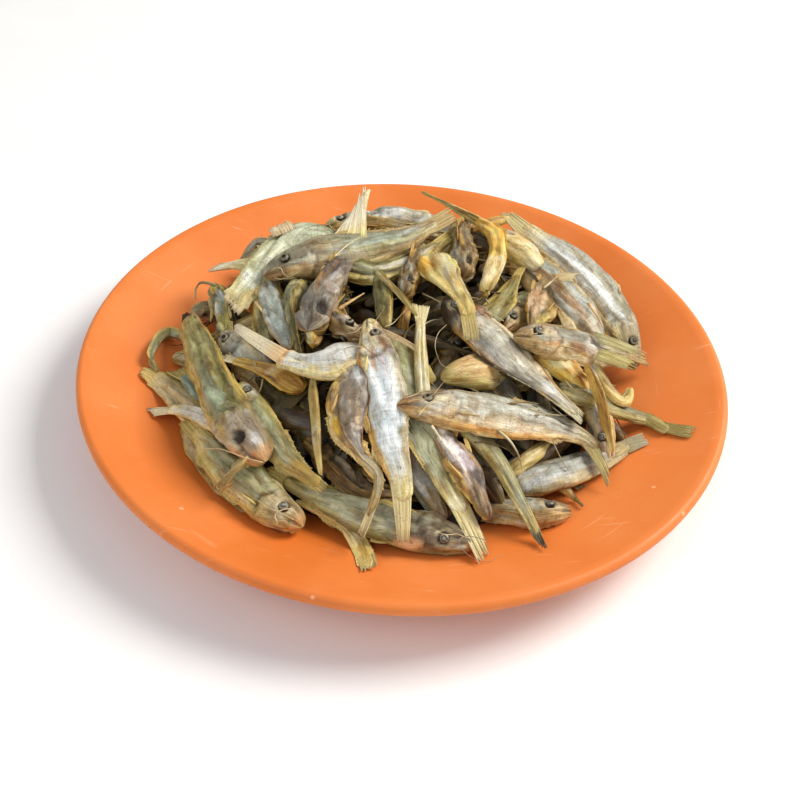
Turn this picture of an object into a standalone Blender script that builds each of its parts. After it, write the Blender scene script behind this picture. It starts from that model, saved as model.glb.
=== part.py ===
"""A heap of small dried catfish on a round orange plate: two closed solids, the plate and the heap.

The heap is one solid. A low mound is its core, and the fish that show are laid over it in layers and
joined to it. Sizes and places below are in millimetres, and MM turns them into metres.
"""

import math
import random

import bmesh
import bpy
import numpy as np
from mathutils import Vector

MM = 0.001

# The plate, from its foot to the rolled rim
FOOT_RADIUS = 64.0
FOOT_EDGE = 1.0
FOOT_BLEND = 12.0
PLATE_WALL = 4.2
WELL_RADIUS = 56.0
WELL_HEIGHT = 5.2
RIM_HEIGHT = 27.0
RIM_RADIUS = 128.0
RIM_ROLL = 2.6
PLATE_CURVE = 1.55
PLATE_STEPS = 8
ROLL_STEPS = 5
ROLL_ARC = math.radians(135.0)
PLATE_SIDES = 48
CLEARANCE = 0.4

# The mound: its skin is where the middle of a fish of the top layer lies
MOUND_EDGE = 11.0
MOUND_RISE = 44.0
MOUND_RADIUS = 106.0
MOUND_MIDDLE_Y = 3.0
DOME_POWER = 0.85
# Its outline and its slope from the middle towards the front, and what is added to them at the back
OUTLINE_POWERS = (2.0, 0.6)
SLOPE_POWERS = (2.2, 1.6)
BACK_BEGINS_Y = 50.0
# The solid under the fish
CORE_DEPTH = 11.0
CORE_EDGE = 2.0
CORE_FALL = 1.0
CORE_RADIUS = 84.0
CORE_RINGS = 5
CORE_SIDES = 18

# How deep the middle of a fish lies under the skin, by layer, and how stiff a fish is
LAYER_DEPTHS = (0.0, 6.5, 12.5)
STIFFNESS = 0.45
# The heap was laid out as seen from this angle, so what lies deeper slides back along that line
SIGHT_ANGLE = math.radians(42.7)
SLIDE_ROUNDS = 4

# The form of a fish from snout, 0, to tail tip, 1, as shares of its full width and depth
FISH_STATIONS = (0.0, 0.07, 0.2, 0.37, 0.58, 0.8, 1.0)
FISH_WIDTHS = (0.36, 0.85, 1.0, 0.86, 0.56, 0.26, 0.14)
FISH_DEPTHS = (0.24, 0.56, 0.9, 1.0, 0.8, 0.44, 0.52)
TAIL_STATIONS = (0.0, 0.12, 0.42, 0.74, 1.0)
TAIL_WIDTHS = (0.45, 0.85, 0.62, 0.34, 0.22)
TAIL_DEPTHS = (0.6, 0.95, 0.85, 0.55, 0.7)
PLAIN_STATIONS = (0.0, 0.12, 0.35, 0.75, 1.0)
PLAIN_WIDTHS = (0.4, 0.95, 0.9, 0.35, 0.18)
PLAIN_DEPTHS = (0.35, 0.75, 1.0, 0.5, 0.5)
STRIP_STATIONS = (0.0, 0.3, 0.7, 1.0)
STRIP_WIDTHS = (0.5, 1.0, 0.95, 0.4)
STRIP_DEPTHS = (0.5, 1.0, 0.95, 0.5)
FORMS = {
    "whole": (FISH_STATIONS, FISH_WIDTHS, FISH_DEPTHS, 6),
    "tail": (TAIL_STATIONS, TAIL_WIDTHS, TAIL_DEPTHS, 6),
    "plain": (PLAIN_STATIONS, PLAIN_WIDTHS, PLAIN_DEPTHS, 5),
    "strip": (STRIP_STATIONS, STRIP_WIDTHS, STRIP_DEPTHS, 4),
}
LEAST_THICKNESS = 1.4
CURVE_STATIONS = 21
SPAN_STEPS = 12

# Each fish from snout to tail: form, layer, width, depth, turn, then the places that it passes over.
# Turn is the way its back points, in degrees from straight up to the fish's left.
# A third number in a place lifts it above the skin. In the layer "set" it is the height itself.
FISH = {
    "front_silver": ("whole", 0, 9, 15, 78, ((-15, -14), (-9, -42), (0, -66), (3, -95))),
    "front_level": ("whole", 0, 10, 16, 74, ((-1, -52, -1), (36, -53, -3), (72, -49, -3), (80, -62, -1))),
    "middle_diagonal": ("whole", 0, 11, 17, -75, ((13, -1, -4), (24, -14, -3), (42, -30, -3), (68, -43, -1))),
    "middle_yellow": ("tail", 0, 8, 17, 80, ((9, 28, 1), (14, 14, 2), (22, -3, 3), (25, -23, 2))),
    "left_olive": ("whole", 0, 13, 17, -48, ((-47, -70, 2), (-64, -48, 1), (-76, -20), (-91, 19))),
    "left_small_tail": ("tail", 1, 5, 8, 80, ((-62, -58, 2), (-80, -43, 5), (-98, -32, 6))),
    "left_outer_tail": ("tail", 1, 6, 12, 80, ((-70, -56), (-90, -30, 2), (-106, -5, 5))),
    "left_hook": ("strip", 1, 4, 6, 0, ((-100, -12, 3), (-104, 1, 6), (-101, 12, 6), (-88, -2, 1))),
    "left_blue_fin": ("tail", 2, 5, 11, 80, ((-66, -56), (-82, -30, 3), (-93, -16, 4))),
    "bottom_left": ("whole", 0, 11, 17, -68, ((-32, -94), (-47, -83), (-65, -65), (-82, -44, -3))),
    "bottom_under": ("strip", 2, 4, 10, 80, ((-52, -84, 4), (-70, -66, 4), (-84, -46, 4))),
    "left_straw": ("strip", 0, 3, 6, 80, ((-54, -66, -1), (-62, -74, 3))),
    "front_long": ("whole", 1, 11, 16, 100, ((33, -93, 5), (12, -91, 3), (-20, -82, 1), (-52, -68))),
    "left_middle": ("whole", 1, 8, 11, 60, ((-60, -35, 4), (-53, -53, 4), (-41, -69, 5), (-24, -82, 6))),
    "white_curved": ("tail", 0, 8, 13, -80, ((-14, -31, -4), (-30, -37, 1), (-46, -31, 2), (-67, -8, 3))),
    "golden_end": ("tail", 1, 8, 10, 80, ((-37, -46, 3), (-52, -35, 3), (-71, -23, 6))),
    "brown_curved": ("whole", 0, 9, 13, 78, ((-15, -35, -3), (-27, -58), (-12, -73), (-11, -95))),
    "straw_upright": ("strip", 1, 5, 7, 0, ((-34, -38, 3), (-31, -56, 4), (-27, -77, 6))),
    "short_tail": ("whole", 1, 6, 10, 80, ((-48, -76), (-34, -84, 3), (-20, -91, 6), (-8, -99, 7))),
    "centre_upright": ("tail", 1, 6, 6, 20, ((8, -54, 2), (5, -32, 4), (5, -3, 7))),
    "centre_spike": ("strip", 0, 3, 3, 0, ((-13, 14, 3), (-5, 2, 3), (4, -12, 0))),
    "front_olive": ("whole", 1, 9, 14, -78, ((-6, -22), (5, -48, 1), (17, -76, 3), (33, -96, 6))),
    "front_purple": ("whole", 1, 9, 11, -70, ((33, -86, 5), (27, -77, 4), (17, -66, 2), (2, -44, -4))),
    "front_white_under": ("whole", 2, 8, 10, 80, ((18, -90, 6), (7, -77, 5), (-2, -60), (-8, -30))),
    "front_thin": ("tail", 1, 6, 8, 80, ((14, -50, -3), (35, -66), (52, -86, 4))),
    "front_thin_under": ("whole", 2, 7, 10, 70, ((48, -90, 3), (36, -78, 3), (22, -62), (4, -44))),
    "right_ribbed": ("tail", 1, 9, 14, 80, ((43, -75, -1), (62, -64), (79, -51, 1), (97, -31, 4))),
    "right_low_head": ("whole", 2, 9, 13, -80, ((63, -72, 5), (48, -79, 6), (20, -84), (-8, -80))),
    "right_dark_fin": ("strip", 2, 3, 6, 80, ((58, -66, 3), (68, -70, 6), (74, -73, 8))),
    "right_tail": ("tail", 1, 7, 9, 80, ((60, -32), (87, -27, 5), (101, -21, 6), (114, -21, 8))),
    "brown_right": ("whole", 2, 8, 10, 60, ((88, -39, 6), (76, -36, 5), (52, -30), (28, -24))),
    "golden_strip": ("strip", 0, 4, 6, 0, ((68, -18, -2), (74, -30, -4), (79, -50, -1))),
    "right_head": ("whole", 0, 10, 14, 62, ((41, -13, 1), (56, -9, 2), (76, -3, 1), (102, 16, 3))),
    "gold_piece": ("tail", 1, 8, 12, 60, ((52, -16, 1), (63, -22, 4), (78, -30, 2))),
    "curled_skin": ("strip", 0, 4, 11, 70, ((72, -12, 1), (76, -23, 1), (85, -24, 1), (90, -12, 1))),
    "right_big": ("whole", "set", 12, 17, -66, ((96, 2, 20), (92, 24, 28), (73, 44, 42), (51, 57, 51), (37, 57, 58))),
    "right_under": ("whole", 1, 10, 18, -60, ((72, 1, 2), (60, 11, 4), (46, 25, 4), (26, 50))),
    "right_brown_stripe": ("whole", 1, 8, 10, 60, ((88, 10, 1), (74, 16, 4), (58, 28, 4), (38, 52))),
    "golden_twist": ("strip", 0, 6, 8, 20, ((27, 58, 2), (37, 44, 3), (38, 28, 3), (32, 9, 2))),
    "spiny_head": ("whole", 1, 8, 10, 10, ((48, -6, 6), (53, 8, 6), (58, 24, 4), (62, 48, -3))),
    "low_small_head": ("whole", 2, 8, 11, 50, ((38, -12, 7), (46, 2, 6), (54, 16), (62, 40))),
    "pale_big": ("whole", 0, 11, 16, -62, ((-31, 39, -3), (-48, 36, -2), (-60, 21, 1), (-71, 4, 3))),
    "crest_long": ("whole", "set", 11, 16, 50, ((-59, 15, 49), (-42, 20, 54), (-6, 33, 57), (18, 55, 59))),
    "crest_lower": ("tail", 1, 8, 11, 70, ((-31, 18, 4), (-12, 15, 5), (4, 28, 5), (17, 47, 6))),
    "straw_behind": ("tail", 1, 4, 8, 60, ((2, 12, 1), (12, 32, 4), (21, 62, 6))),
    "skull_down": ("whole", 0, 13, 15, 30, ((-37, -20, 1), (-33, -3, 3), (-28, 16, 1), (-20, 44, -6))),
    "ring_head": ("whole", 1, 8, 11, 0, ((-43, 12, 3), (-45, -4, 4), (-42, -22, 3), (-36, -44, -4))),
    "tan_end": ("tail", 1, 8, 10, 0, ((-35, -26, 6), (-36, -14, 4), (-40, 10))),
    "small_head": ("whole", 1, 9, 11, 60, ((-13, -27, 6), (-24, -18, 6), (-34, -4), (-42, 18))),
    "blue_upright": ("whole", 1, 7, 12, 80, ((-44, -27, 4), (-51, -8, 4), (-57, 14, 4), (-58, 40))),
    "olive_upright": ("tail", 1, 5, 9, -80, ((-54, -22, 1), (-58, -4, 4), (-62, 14, 4))),
    "left_crumple": ("whole", 1, 9, 11, 30, ((-81, 24, 4), (-76, 9, 5), (-72, -10, 3), (-64, -36, -4))),
    "left_ring_eye": ("whole", 2, 9, 13, 60, ((-74, -1, 5), (-65, -18, 6), (-56, -36, 3), (-46, -62, -3))),
    "straw_left_back": ("tail", "set", 5, 8, 80, ((-52, 30, 38), (-67, 34, 41), (-85, 44, 31))),
    "arched_back": ("strip", "set", 4, 6, 0, ((-74, 42, 34), (-66, 47, 43), (-56, 42, 46))),
    "crest_head": ("whole", "set", 10, 12, 60, ((-38, 56, 48), (-28, 57, 50), (-6, 56, 50), (26, 52, 44))),
    "crest_fin": ("strip", "set", 3, 9, 80, ((-26, 38, 52), (-23, 44, 60), (-20, 52, 69))),
    "crest_silver": ("whole", "set", 10, 14, 70, ((-26, 57, 50), (-8, 59, 50), (14, 58, 48), (46, 48, 40))),
    "crest_spike": ("tail", "set", 5, 8, 0, ((38, 54, 51), (24, 60, 55), (3, 62, 64))),
    "crest_straw": ("strip", "set", 4, 5, 0, ((26, 52, 52), (34, 56, 54), (42, 60, 54))),
    "crest_grey_curl": ("whole", 1, 8, 10, 30, ((36, 56, 4), (42, 46, 4), (52, 38, 1), (70, 30, -3))),
    "crumpled_head": ("whole", 0, 11, 13, 20, ((21, 14, -3), (21, 32, 1), (22, 52, 1), (30, 72, -8))),
    "socket_head": ("whole", 1, 9, 12, 20, ((-2, 0, 3), (0, 14, 5), (4, 32, 3), (4, 60, -3))),
    "golden_blob": ("tail", 2, 6, 8, 0, ((-2, -22, 3), (-1, -12, 5), (2, 8))),
    "olive_bar": ("strip", 1, 6, 8, 20, ((-13, 14, 4), (-10, -2, 4), (-7, -20, 4))),
    "olive_striped": ("tail", 0, 5, 9, -70, ((31, -10, -5), (40, 12, -4), (47, 31, -3))),
    "tan_wedge": ("whole", 2, 10, 15, 60, ((12, -41, 7), (26, -36, 8), (50, -30), (80, -18))),
    "pale_short": ("whole", 1, 9, 13, 60, ((40, 44, 4), (50, 36, 5), (62, 24), (84, 10, -4))),
    "ragged_strip": ("strip", 2, 3, 6, 60, ((38, -74, 4), (48, -64, 7), (58, -54, 4))),
    "deep_curled": ("whole", 2, 8, 11, 80, ((-35, -65, 5), (-22, -75, 6), (-10, -83, 6), (14, -84))),
    "deep_left": ("whole", 2, 8, 12, 70, ((-54, -46, 1), (-38, -56, 2), (-24, -66, 2), (4, -76))),
    "deep_right": ("whole", 2, 8, 12, -70, ((28, -52), (42, -60), (56, -64, 1), (70, -66, 1))),
    "deep_centre": ("whole", 2, 8, 11, 80, ((22, -18, 1), (15, -36, 2), (8, -54), (-4, -76))),
    "deep_left_back": ("whole", 2, 8, 12, 70, ((-50, 12), (-58, 20), (-66, 26), (-78, 22))),
}

# The fish on the far slope and low at the two ends, which the layout above doesn't reach:
# how many, the arc round the heap and the ring that their middles lie in
FILL_SEED = 11
BACK_COUNT = 13
BACK_ARC = (math.radians(32.0), math.radians(148.0))
BACK_RING = (70.0, 84.0)
SIDE_COUNT = 6
SIDE_ARC = (math.radians(-20.0), math.radians(200.0))
SIDE_RING = (62.0, 74.0)
FILL_REACH = 96.0
# The far slope falls from this height and radius, and every other fish lies deeper by a step
FILL_TOP = 47.0
FILL_START = 58.0
FILL_FALL = 0.9
FILL_STEP = 6.0
FILL_LENGTH = (62.0, 80.0)
FILL_WIDTH = (7.0, 9.5)
FILL_DEPTH = (10.0, 14.0)


def plate_profile():
    """Radius and height of the plate's upper face, from the middle to the start of the rolled rim."""
    points = [(0.0, WELL_HEIGHT)]
    for step in range(PLATE_STEPS + 1):
        share = step / PLATE_STEPS
        radius = WELL_RADIUS + share * (RIM_RADIUS - WELL_RADIUS)
        points.append((radius, WELL_HEIGHT + (RIM_HEIGHT - WELL_HEIGHT) * share**PLATE_CURVE))
    return points


def plate_top(x, y):
    """Height of the plate's upper face at a place."""
    share = np.clip((np.hypot(x, y) - WELL_RADIUS) / (RIM_RADIUS - WELL_RADIUS), 0.0, 1.0)
    return WELL_HEIGHT + (RIM_HEIGHT - WELL_HEIGHT) * share**PLATE_CURVE


def skin(x, y):
    """Height of the mound's skin: a dome that is fuller and squarer at the back than at the front."""
    share = np.clip(y / BACK_BEGINS_Y, 0.0, 1.0)
    share = share * share * (3.0 - 2.0 * share)
    power = OUTLINE_POWERS[0] + OUTLINE_POWERS[1] * share
    reach = (np.abs(x) ** power + np.abs(y - MOUND_MIDDLE_Y) ** power) ** (1.0 / power)
    slope = SLOPE_POWERS[0] + SLOPE_POWERS[1] * share
    rest = np.clip(1.0 - (reach / MOUND_RADIUS) ** slope, 0.0, 1.0)
    return MOUND_EDGE + MOUND_RISE * rest**DOME_POWER


def new_object(name, bm):
    """A scene object made from a bmesh in millimetres."""
    bmesh.ops.scale(bm, vec=(MM, MM, MM), verts=bm.verts)
    bmesh.ops.recalc_face_normals(bm, faces=bm.faces)
    mesh = bpy.data.meshes.new(name)
    bm.to_mesh(mesh)
    bm.free()
    shape = bpy.data.objects.new(name, mesh)
    bpy.context.scene.collection.objects.link(shape)
    return shape


def material(name, colour, roughness):
    """A Principled material of one colour, given in linear values."""
    made = bpy.data.materials.new(name)
    made.use_nodes = True
    shader = made.node_tree.nodes["Principled BSDF"]
    shader.inputs["Base Color"].default_value = (*colour, 1.0)
    shader.inputs["Roughness"].default_value = roughness
    shader.inputs["Metallic"].default_value = 0.0
    return made


def build_plate():
    """A shallow coupe plate with a flat foot, turned from its profile, with a rolled rim."""
    upper = plate_profile()
    roll_z = RIM_HEIGHT - RIM_ROLL
    roll = []
    for step in range(1, ROLL_STEPS + 1):
        angle = math.pi / 2 - ROLL_ARC * step / ROLL_STEPS
        roll.append((RIM_RADIUS + RIM_ROLL * math.cos(angle), roll_z + RIM_ROLL * math.sin(angle)))
    lower = []
    for radius, height in reversed(upper[1:-1]):
        if radius > FOOT_RADIUS + FOOT_BLEND:
            lower.append((radius, height - PLATE_WALL))
    lower += [(FOOT_RADIUS + FOOT_EDGE, FOOT_EDGE), (FOOT_RADIUS, 0.0), (0.0, 0.0)]
    bm = bmesh.new()
    verts = [bm.verts.new((radius, 0.0, height)) for radius, height in upper + roll + lower]
    edges = [bm.edges.new(pair) for pair in zip(verts, verts[1:])]
    bmesh.ops.spin(
        bm,
        geom=verts + edges,
        cent=(0.0, 0.0, 0.0),
        axis=(0.0, 0.0, 1.0),
        angle=2.0 * math.pi,
        steps=PLATE_SIDES,
        use_merge=True,
    )
    bmesh.ops.remove_doubles(bm, verts=bm.verts, dist=0.01)
    plate = new_object("plate", bm)
    plate.data.shade_smooth()
    plate.data.set_sharp_from_angle(angle=math.radians(40.0))
    plate.data.materials.append(material("orange_plate", (0.82, 0.22, 0.07), 0.42))
    return plate


def build_core():
    """The low mound under the fish: its top follows the skin at a depth, its underside the plate."""
    bm = bmesh.new()
    rings = []
    for side in ("top", "bottom"):
        for ring in range(1, CORE_RINGS + 1):
            radius = CORE_RADIUS * ring / CORE_RINGS
            loop = []
            for step in range(CORE_SIDES):
                angle = 2.0 * math.pi * step / CORE_SIDES
                x = radius * math.cos(angle)
                y = radius * math.sin(angle)
                floor = float(plate_top(x, y)) + CLEARANCE
                slope = floor + CORE_EDGE + CORE_FALL * (CORE_RADIUS - radius)
                top = max(min(float(skin(x, y)) - CORE_DEPTH, slope), floor + CORE_EDGE)
                loop.append(bm.verts.new((x, y, top if side == "top" else floor)))
            rings.append(loop)
    top_rings = rings[:CORE_RINGS]
    bottom_rings = rings[CORE_RINGS:]
    top_middle = bm.verts.new((0.0, 0.0, float(skin(0.0, 0.0)) - CORE_DEPTH))
    bottom_middle = bm.verts.new((0.0, 0.0, WELL_HEIGHT + CLEARANCE))
    bands = list(zip(top_rings, top_rings[1:])) + list(zip(bottom_rings, bottom_rings[1:]))
    bands.append((top_rings[-1], bottom_rings[-1]))
    for inner, outer in bands:
        for step in range(CORE_SIDES):
            after = (step + 1) % CORE_SIDES
            bm.faces.new((inner[step], inner[after], outer[after], outer[step]))
    for middle, loop in ((top_middle, top_rings[0]), (bottom_middle, bottom_rings[0])):
        for step in range(CORE_SIDES):
            bm.faces.new((middle, loop[step], loop[(step + 1) % CORE_SIDES]))
    return new_object("core", bm)


def through(points, count):
    """Places at even steps along a smooth curve through the given ones."""
    rows = np.array([tuple(point) + (0.0,) * (3 - len(point)) for point in points], float)
    padded = np.vstack([2 * rows[0] - rows[1], rows, 2 * rows[-1] - rows[-2]])
    fine = []
    for before, start, end, after in zip(padded, padded[1:], padded[2:], padded[3:]):
        for t in np.linspace(0.0, 1.0, SPAN_STEPS, endpoint=False):
            first = (end - before) * t
            second = (2 * before - 5 * start + 4 * end - after) * t**2
            third = (3 * start - before - 3 * end + after) * t**3
            fine.append(0.5 * (2 * start + first + second + third))
    fine = np.array(fine + [rows[-1]])
    run = np.concatenate([[0.0], np.cumsum(np.linalg.norm(np.diff(fine, axis=0), axis=1))])
    wanted = np.linspace(0.0, run[-1], count)
    return np.stack([np.interp(wanted, run, fine[:, axis]) for axis in range(3)], axis=1)


def centre_line(form, layer, width, depth, turn, points):
    """The fish's middle line over the mound, clear of the plate, with its sizes at each station."""
    stations, widths, depths, _ = FORMS[form]
    x, y, rise = through(points, CURVE_STATIONS).T
    share = np.linspace(0.0, 1.0, CURVE_STATIONS)
    half_width = np.maximum(np.interp(share, stations, widths) * width, LEAST_THICKNESS) / 2
    half_depth = np.maximum(np.interp(share, stations, depths) * depth, LEAST_THICKNESS) / 2
    angle = math.radians(turn)
    half_height = np.hypot(half_depth * math.cos(angle), half_width * math.sin(angle))
    if layer == "set":
        z = np.maximum(rise, plate_top(x, y) + half_height + CLEARANCE)
        return np.stack([x, y, z], axis=1), half_width, half_depth
    surface = skin(x, y)
    z = surface - LAYER_DEPTHS[layer] + rise
    straight = np.polyval(np.polyfit(share, z, 1), share)
    z = z + STIFFNESS * (straight - z)
    back = y
    for _ in range(SLIDE_ROUNDS):
        back = y + (surface - z) / math.tan(SIGHT_ANGLE)
        z = np.maximum(z, plate_top(x, back) + half_height + CLEARANCE)
    return np.stack([x, back, z], axis=1), half_width, half_depth


def build_fish(name, form, layer, width, depth, turn, points):
    """One fish as a closed loft of flat-sided rings round its middle line."""
    stations, _, _, sides = FORMS[form]
    line, half_width, half_depth = centre_line(form, layer, width, depth, turn, points)
    share = np.linspace(0.0, 1.0, CURVE_STATIONS)
    slopes = np.gradient(line, axis=0)
    angle = math.radians(turn)
    bm = bmesh.new()
    rings = []
    for station in stations:
        middle = Vector([np.interp(station, share, line[:, axis]) for axis in range(3)])
        along = Vector([np.interp(station, share, slopes[:, axis]) for axis in range(3)]).normalized()
        left = Vector((0.0, 0.0, 1.0)).cross(along).normalized()
        up = along.cross(left)
        back = up * math.cos(angle) + left * math.sin(angle)
        flank = left * math.cos(angle) - up * math.sin(angle)
        wide = float(np.interp(station, share, half_width))
        deep = float(np.interp(station, share, half_depth))
        ring = []
        for side in range(sides):
            spin = 2.0 * math.pi * (side + 0.5) / sides
            place = middle + flank * (wide * math.sin(spin)) + back * (deep * math.cos(spin))
            place.z = max(place.z, float(plate_top(place.x, place.y)) + CLEARANCE)
            ring.append(bm.verts.new(place))
        rings.append(ring)
    for first, second in zip(rings, rings[1:]):
        for side in range(sides):
            after = (side + 1) % sides
            bm.faces.new((first[side], first[after], second[after], second[side]))
    bm.faces.new(list(reversed(rings[0])))
    bm.faces.new(rings[-1])
    bmesh.ops.triangulate(bm, faces=bm.faces)
    return new_object(name, bm)


def fill_fish():
    """Fish on the far side and low at the ends, spread evenly with a little chance."""
    draw = random.Random(FILL_SEED)
    made = {}
    for number in range(BACK_COUNT):
        made[f"back_{number}"] = placed_fill(draw, number, BACK_COUNT, BACK_ARC, BACK_RING)
    for number in range(SIDE_COUNT):
        made[f"side_{number}"] = placed_fill(draw, number, SIDE_COUNT, SIDE_ARC, SIDE_RING)
    return made


def placed_fill(draw, number, count, arc, ring):
    """One filler fish in its share of an arc, every third one lying across the slope."""
    sunk = FILL_STEP * (number % 2)
    angle = arc[0] + (arc[1] - arc[0]) * (number + draw.uniform(0.2, 0.8)) / count
    radius = draw.uniform(*ring)
    heading = angle + draw.uniform(-0.5, 0.5) + (math.pi / 2 if number % 3 == 0 else 0.0)
    heading += draw.choice((0.0, math.pi))
    half = draw.uniform(*FILL_LENGTH) / 2
    bend = draw.uniform(-6.0, 6.0)
    points = []
    for share in (-1.0, -0.3, 0.4, 1.0):
        side = bend * (1.0 - share * share)
        x = radius * math.cos(angle) + share * half * math.cos(heading) - side * math.sin(heading)
        y = radius * math.sin(angle) + share * half * math.sin(heading) + side * math.cos(heading)
        inward = min(1.0, FILL_REACH / math.hypot(x, y))
        outside = max(math.hypot(x, y) * inward - FILL_START, 0.0)
        points.append((x * inward, y * inward, FILL_TOP - FILL_FALL * outside - sunk))
    turn = draw.choice((-80.0, -60.0, 60.0, 80.0, 20.0))
    return ("plain", "set", draw.uniform(*FILL_WIDTH), draw.uniform(*FILL_DEPTH), turn, tuple(points))


def build_heap():
    """The core and every fish joined into one solid by a single Boolean."""
    pieces = bpy.data.collections.new("pieces")
    bpy.context.scene.collection.children.link(pieces)
    shapes = [build_fish(name, *row) for name, row in {**FISH, **fill_fish()}.items()]
    for shape in shapes:
        bpy.context.scene.collection.objects.unlink(shape)
        pieces.objects.link(shape)
    heap = build_core()
    heap.name = "fish_heap"
    union = heap.modifiers.new("join", "BOOLEAN")
    union.operation = "UNION"
    union.operand_type = "COLLECTION"
    union.collection = pieces
    union.solver = "MANIFOLD"
    bpy.context.view_layer.update()
    joined = bpy.data.meshes.new_from_object(heap.evaluated_get(bpy.context.evaluated_depsgraph_get()))
    heap.modifiers.clear()
    heap.data = joined
    for shape in shapes:
        bpy.data.objects.remove(shape)
    bpy.data.collections.remove(pieces)
    keep_largest_body(joined)
    joined.materials.clear()
    joined.materials.append(material("dried_fish", (0.42, 0.38, 0.26), 0.55))
    return heap


def keep_largest_body(mesh):
    """Removes loose scraps and sealed hollows, which are the bodies besides the largest."""
    bm = bmesh.new()
    bm.from_mesh(mesh)
    bm.verts.ensure_lookup_table()
    seen = set()
    bodies = []
    for start in bm.verts:
        if start in seen:
            continue
        body = []
        waiting = [start]
        seen.add(start)
        while waiting:
            vert = waiting.pop()
            body.append(vert)
            for edge in vert.link_edges:
                other = edge.other_vert(vert)
                if other not in seen:
                    seen.add(other)
                    waiting.append(other)
        bodies.append(body)
    bodies.sort(key=len)
    for body in bodies[:-1]:
        bmesh.ops.delete(bm, geom=body, context="VERTS")
    bm.to_mesh(mesh)
    bm.free()


def main():
    for old in list(bpy.data.objects):
        bpy.data.objects.remove(old)
    build_plate()
    build_heap()


main()
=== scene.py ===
# %% [markdown]
# # A heap of dried tengra on an orange plate
#
# Tengra are small catfish. Dried in the sun, they shrink to stiff, wrinkled strips of skin, bone and
# flesh, with hollow eyes, whiskers and tails like frayed straw. Here a few dozen lie on a plate.
#
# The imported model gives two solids, a plate and a plain heap. This script keeps their places and
# gives them their looks: a smooth plate, and real fish in place of the heap.
# Sizes are in millimetres, and MM turns them into metres.

import itertools
import math
import random

import bmesh
import bpy
import numpy as np
from mathutils import Matrix, Vector


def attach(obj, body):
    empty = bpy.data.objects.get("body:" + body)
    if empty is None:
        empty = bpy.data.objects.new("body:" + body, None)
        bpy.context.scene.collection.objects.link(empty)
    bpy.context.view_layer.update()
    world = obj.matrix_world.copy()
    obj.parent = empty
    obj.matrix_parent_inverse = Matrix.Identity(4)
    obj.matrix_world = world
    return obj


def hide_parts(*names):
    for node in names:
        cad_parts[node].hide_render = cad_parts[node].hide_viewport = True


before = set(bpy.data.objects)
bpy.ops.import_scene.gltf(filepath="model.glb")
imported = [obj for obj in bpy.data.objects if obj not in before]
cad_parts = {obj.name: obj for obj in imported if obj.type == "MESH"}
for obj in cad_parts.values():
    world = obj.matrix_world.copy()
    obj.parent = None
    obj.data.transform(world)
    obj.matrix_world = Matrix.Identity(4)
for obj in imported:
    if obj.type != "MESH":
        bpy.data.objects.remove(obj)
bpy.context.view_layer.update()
MM = 0.001
print("nodes:", sorted(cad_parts))

# %% [markdown]
# ## Colours and nodes
#
# A colour is given as an sRGB hex code, but a shader works in linear light, so one function
# turns codes into linear values. Another small function adds a shader node with its settings and
# links, so that each material below reads as a list of what it is made of.

# %% Helpers for materials
MIX_RESULT = 2


def linear(code):
    """An sRGB hex code as linear red, green and blue."""
    shares = [int(code[place : place + 2], 16) / 255 for place in (0, 2, 4)]
    return [share / 12.92 if share <= 0.04045 else ((share + 0.055) / 1.055) ** 2.4 for share in shares]


def feed(tree, node, inputs):
    """Fills a node's inputs, each with a value, a hex code, or the node or socket that feeds it."""
    for key, value in inputs.items():
        if isinstance(value, bpy.types.Node):
            value = value.outputs[MIX_RESULT if value.bl_idname == "ShaderNodeMix" else 0]
        if isinstance(value, bpy.types.NodeSocket):
            tree.links.new(value, node.inputs[key])
        else:
            node.inputs[key].default_value = (*linear(value), 1.0) if isinstance(value, str) else value


def add(tree, kind, inputs, stops=(), **settings):
    """Adds a node with its settings and inputs. Stops are for a colour ramp: hex codes or greys."""
    made = tree.nodes.new("ShaderNode" + kind)
    for key, value in settings.items():
        setattr(made, key, value)
    feed(tree, made, inputs)
    if stops:
        elements = made.color_ramp.elements
        elements[0].position, elements[-1].position = stops[0][0], stops[-1][0]
        for place, _ in stops[1:-1]:
            elements.new(place)
        for element, (_, colour) in zip(elements, stops):
            element.color = (*(linear(colour) if isinstance(colour, str) else (colour,) * 3), 1.0)
    return made


def empty_material(name):
    """A new material, its node tree, its shader and the place that patterns are read at."""
    made = bpy.data.materials.new(name)
    made.use_nodes = True
    tree = made.node_tree
    return made, tree, tree.nodes["Principled BSDF"], add(tree, "TexCoord", {}).outputs["Object"]


print("white is", linear("ffffff"))

# %% [markdown]
# ## The plate
#
# The real plate is moulded from melamine, a hard plastic, in a shallow coupe shape: flat in the
# middle, then one long curve up to a rim that rolls over. A potter would turn such a shape, and
# Blender's spin does the same: it sweeps a profile round an axis. The profile is the solid's own,
# with more steps, so that the rim is round and not a polygon.

# %% Turn the plate
FOOT_RADIUS = 64.0
FOOT_EDGE = 1.0
FOOT_BLEND = 12.0
PLATE_WALL = 4.2
WELL_RADIUS = 56.0
WELL_HEIGHT = 5.2
RIM_HEIGHT = 27.0
RIM_RADIUS = 128.0
RIM_ROLL = 2.6
ROLL_ARC = math.radians(135.0)
ROLL_STEPS = 12
PLATE_CURVE = 1.55
PLATE_STEPS = 24
PLATE_SIDES = 192
CLEARANCE = 0.4
WELD = 0.00001


def plate_top(x, y):
    """Height of the plate's upper face at a place."""
    share = np.clip((np.hypot(x, y) - WELL_RADIUS) / (RIM_RADIUS - WELL_RADIUS), 0.0, 1.0)
    return WELL_HEIGHT + (RIM_HEIGHT - WELL_HEIGHT) * share**PLATE_CURVE


def as_mesh(bm):
    """A mesh made from a bmesh, which is then freed."""
    mesh = bpy.data.meshes.new("mesh")
    bm.to_mesh(mesh)
    bm.free()
    return mesh


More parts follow.
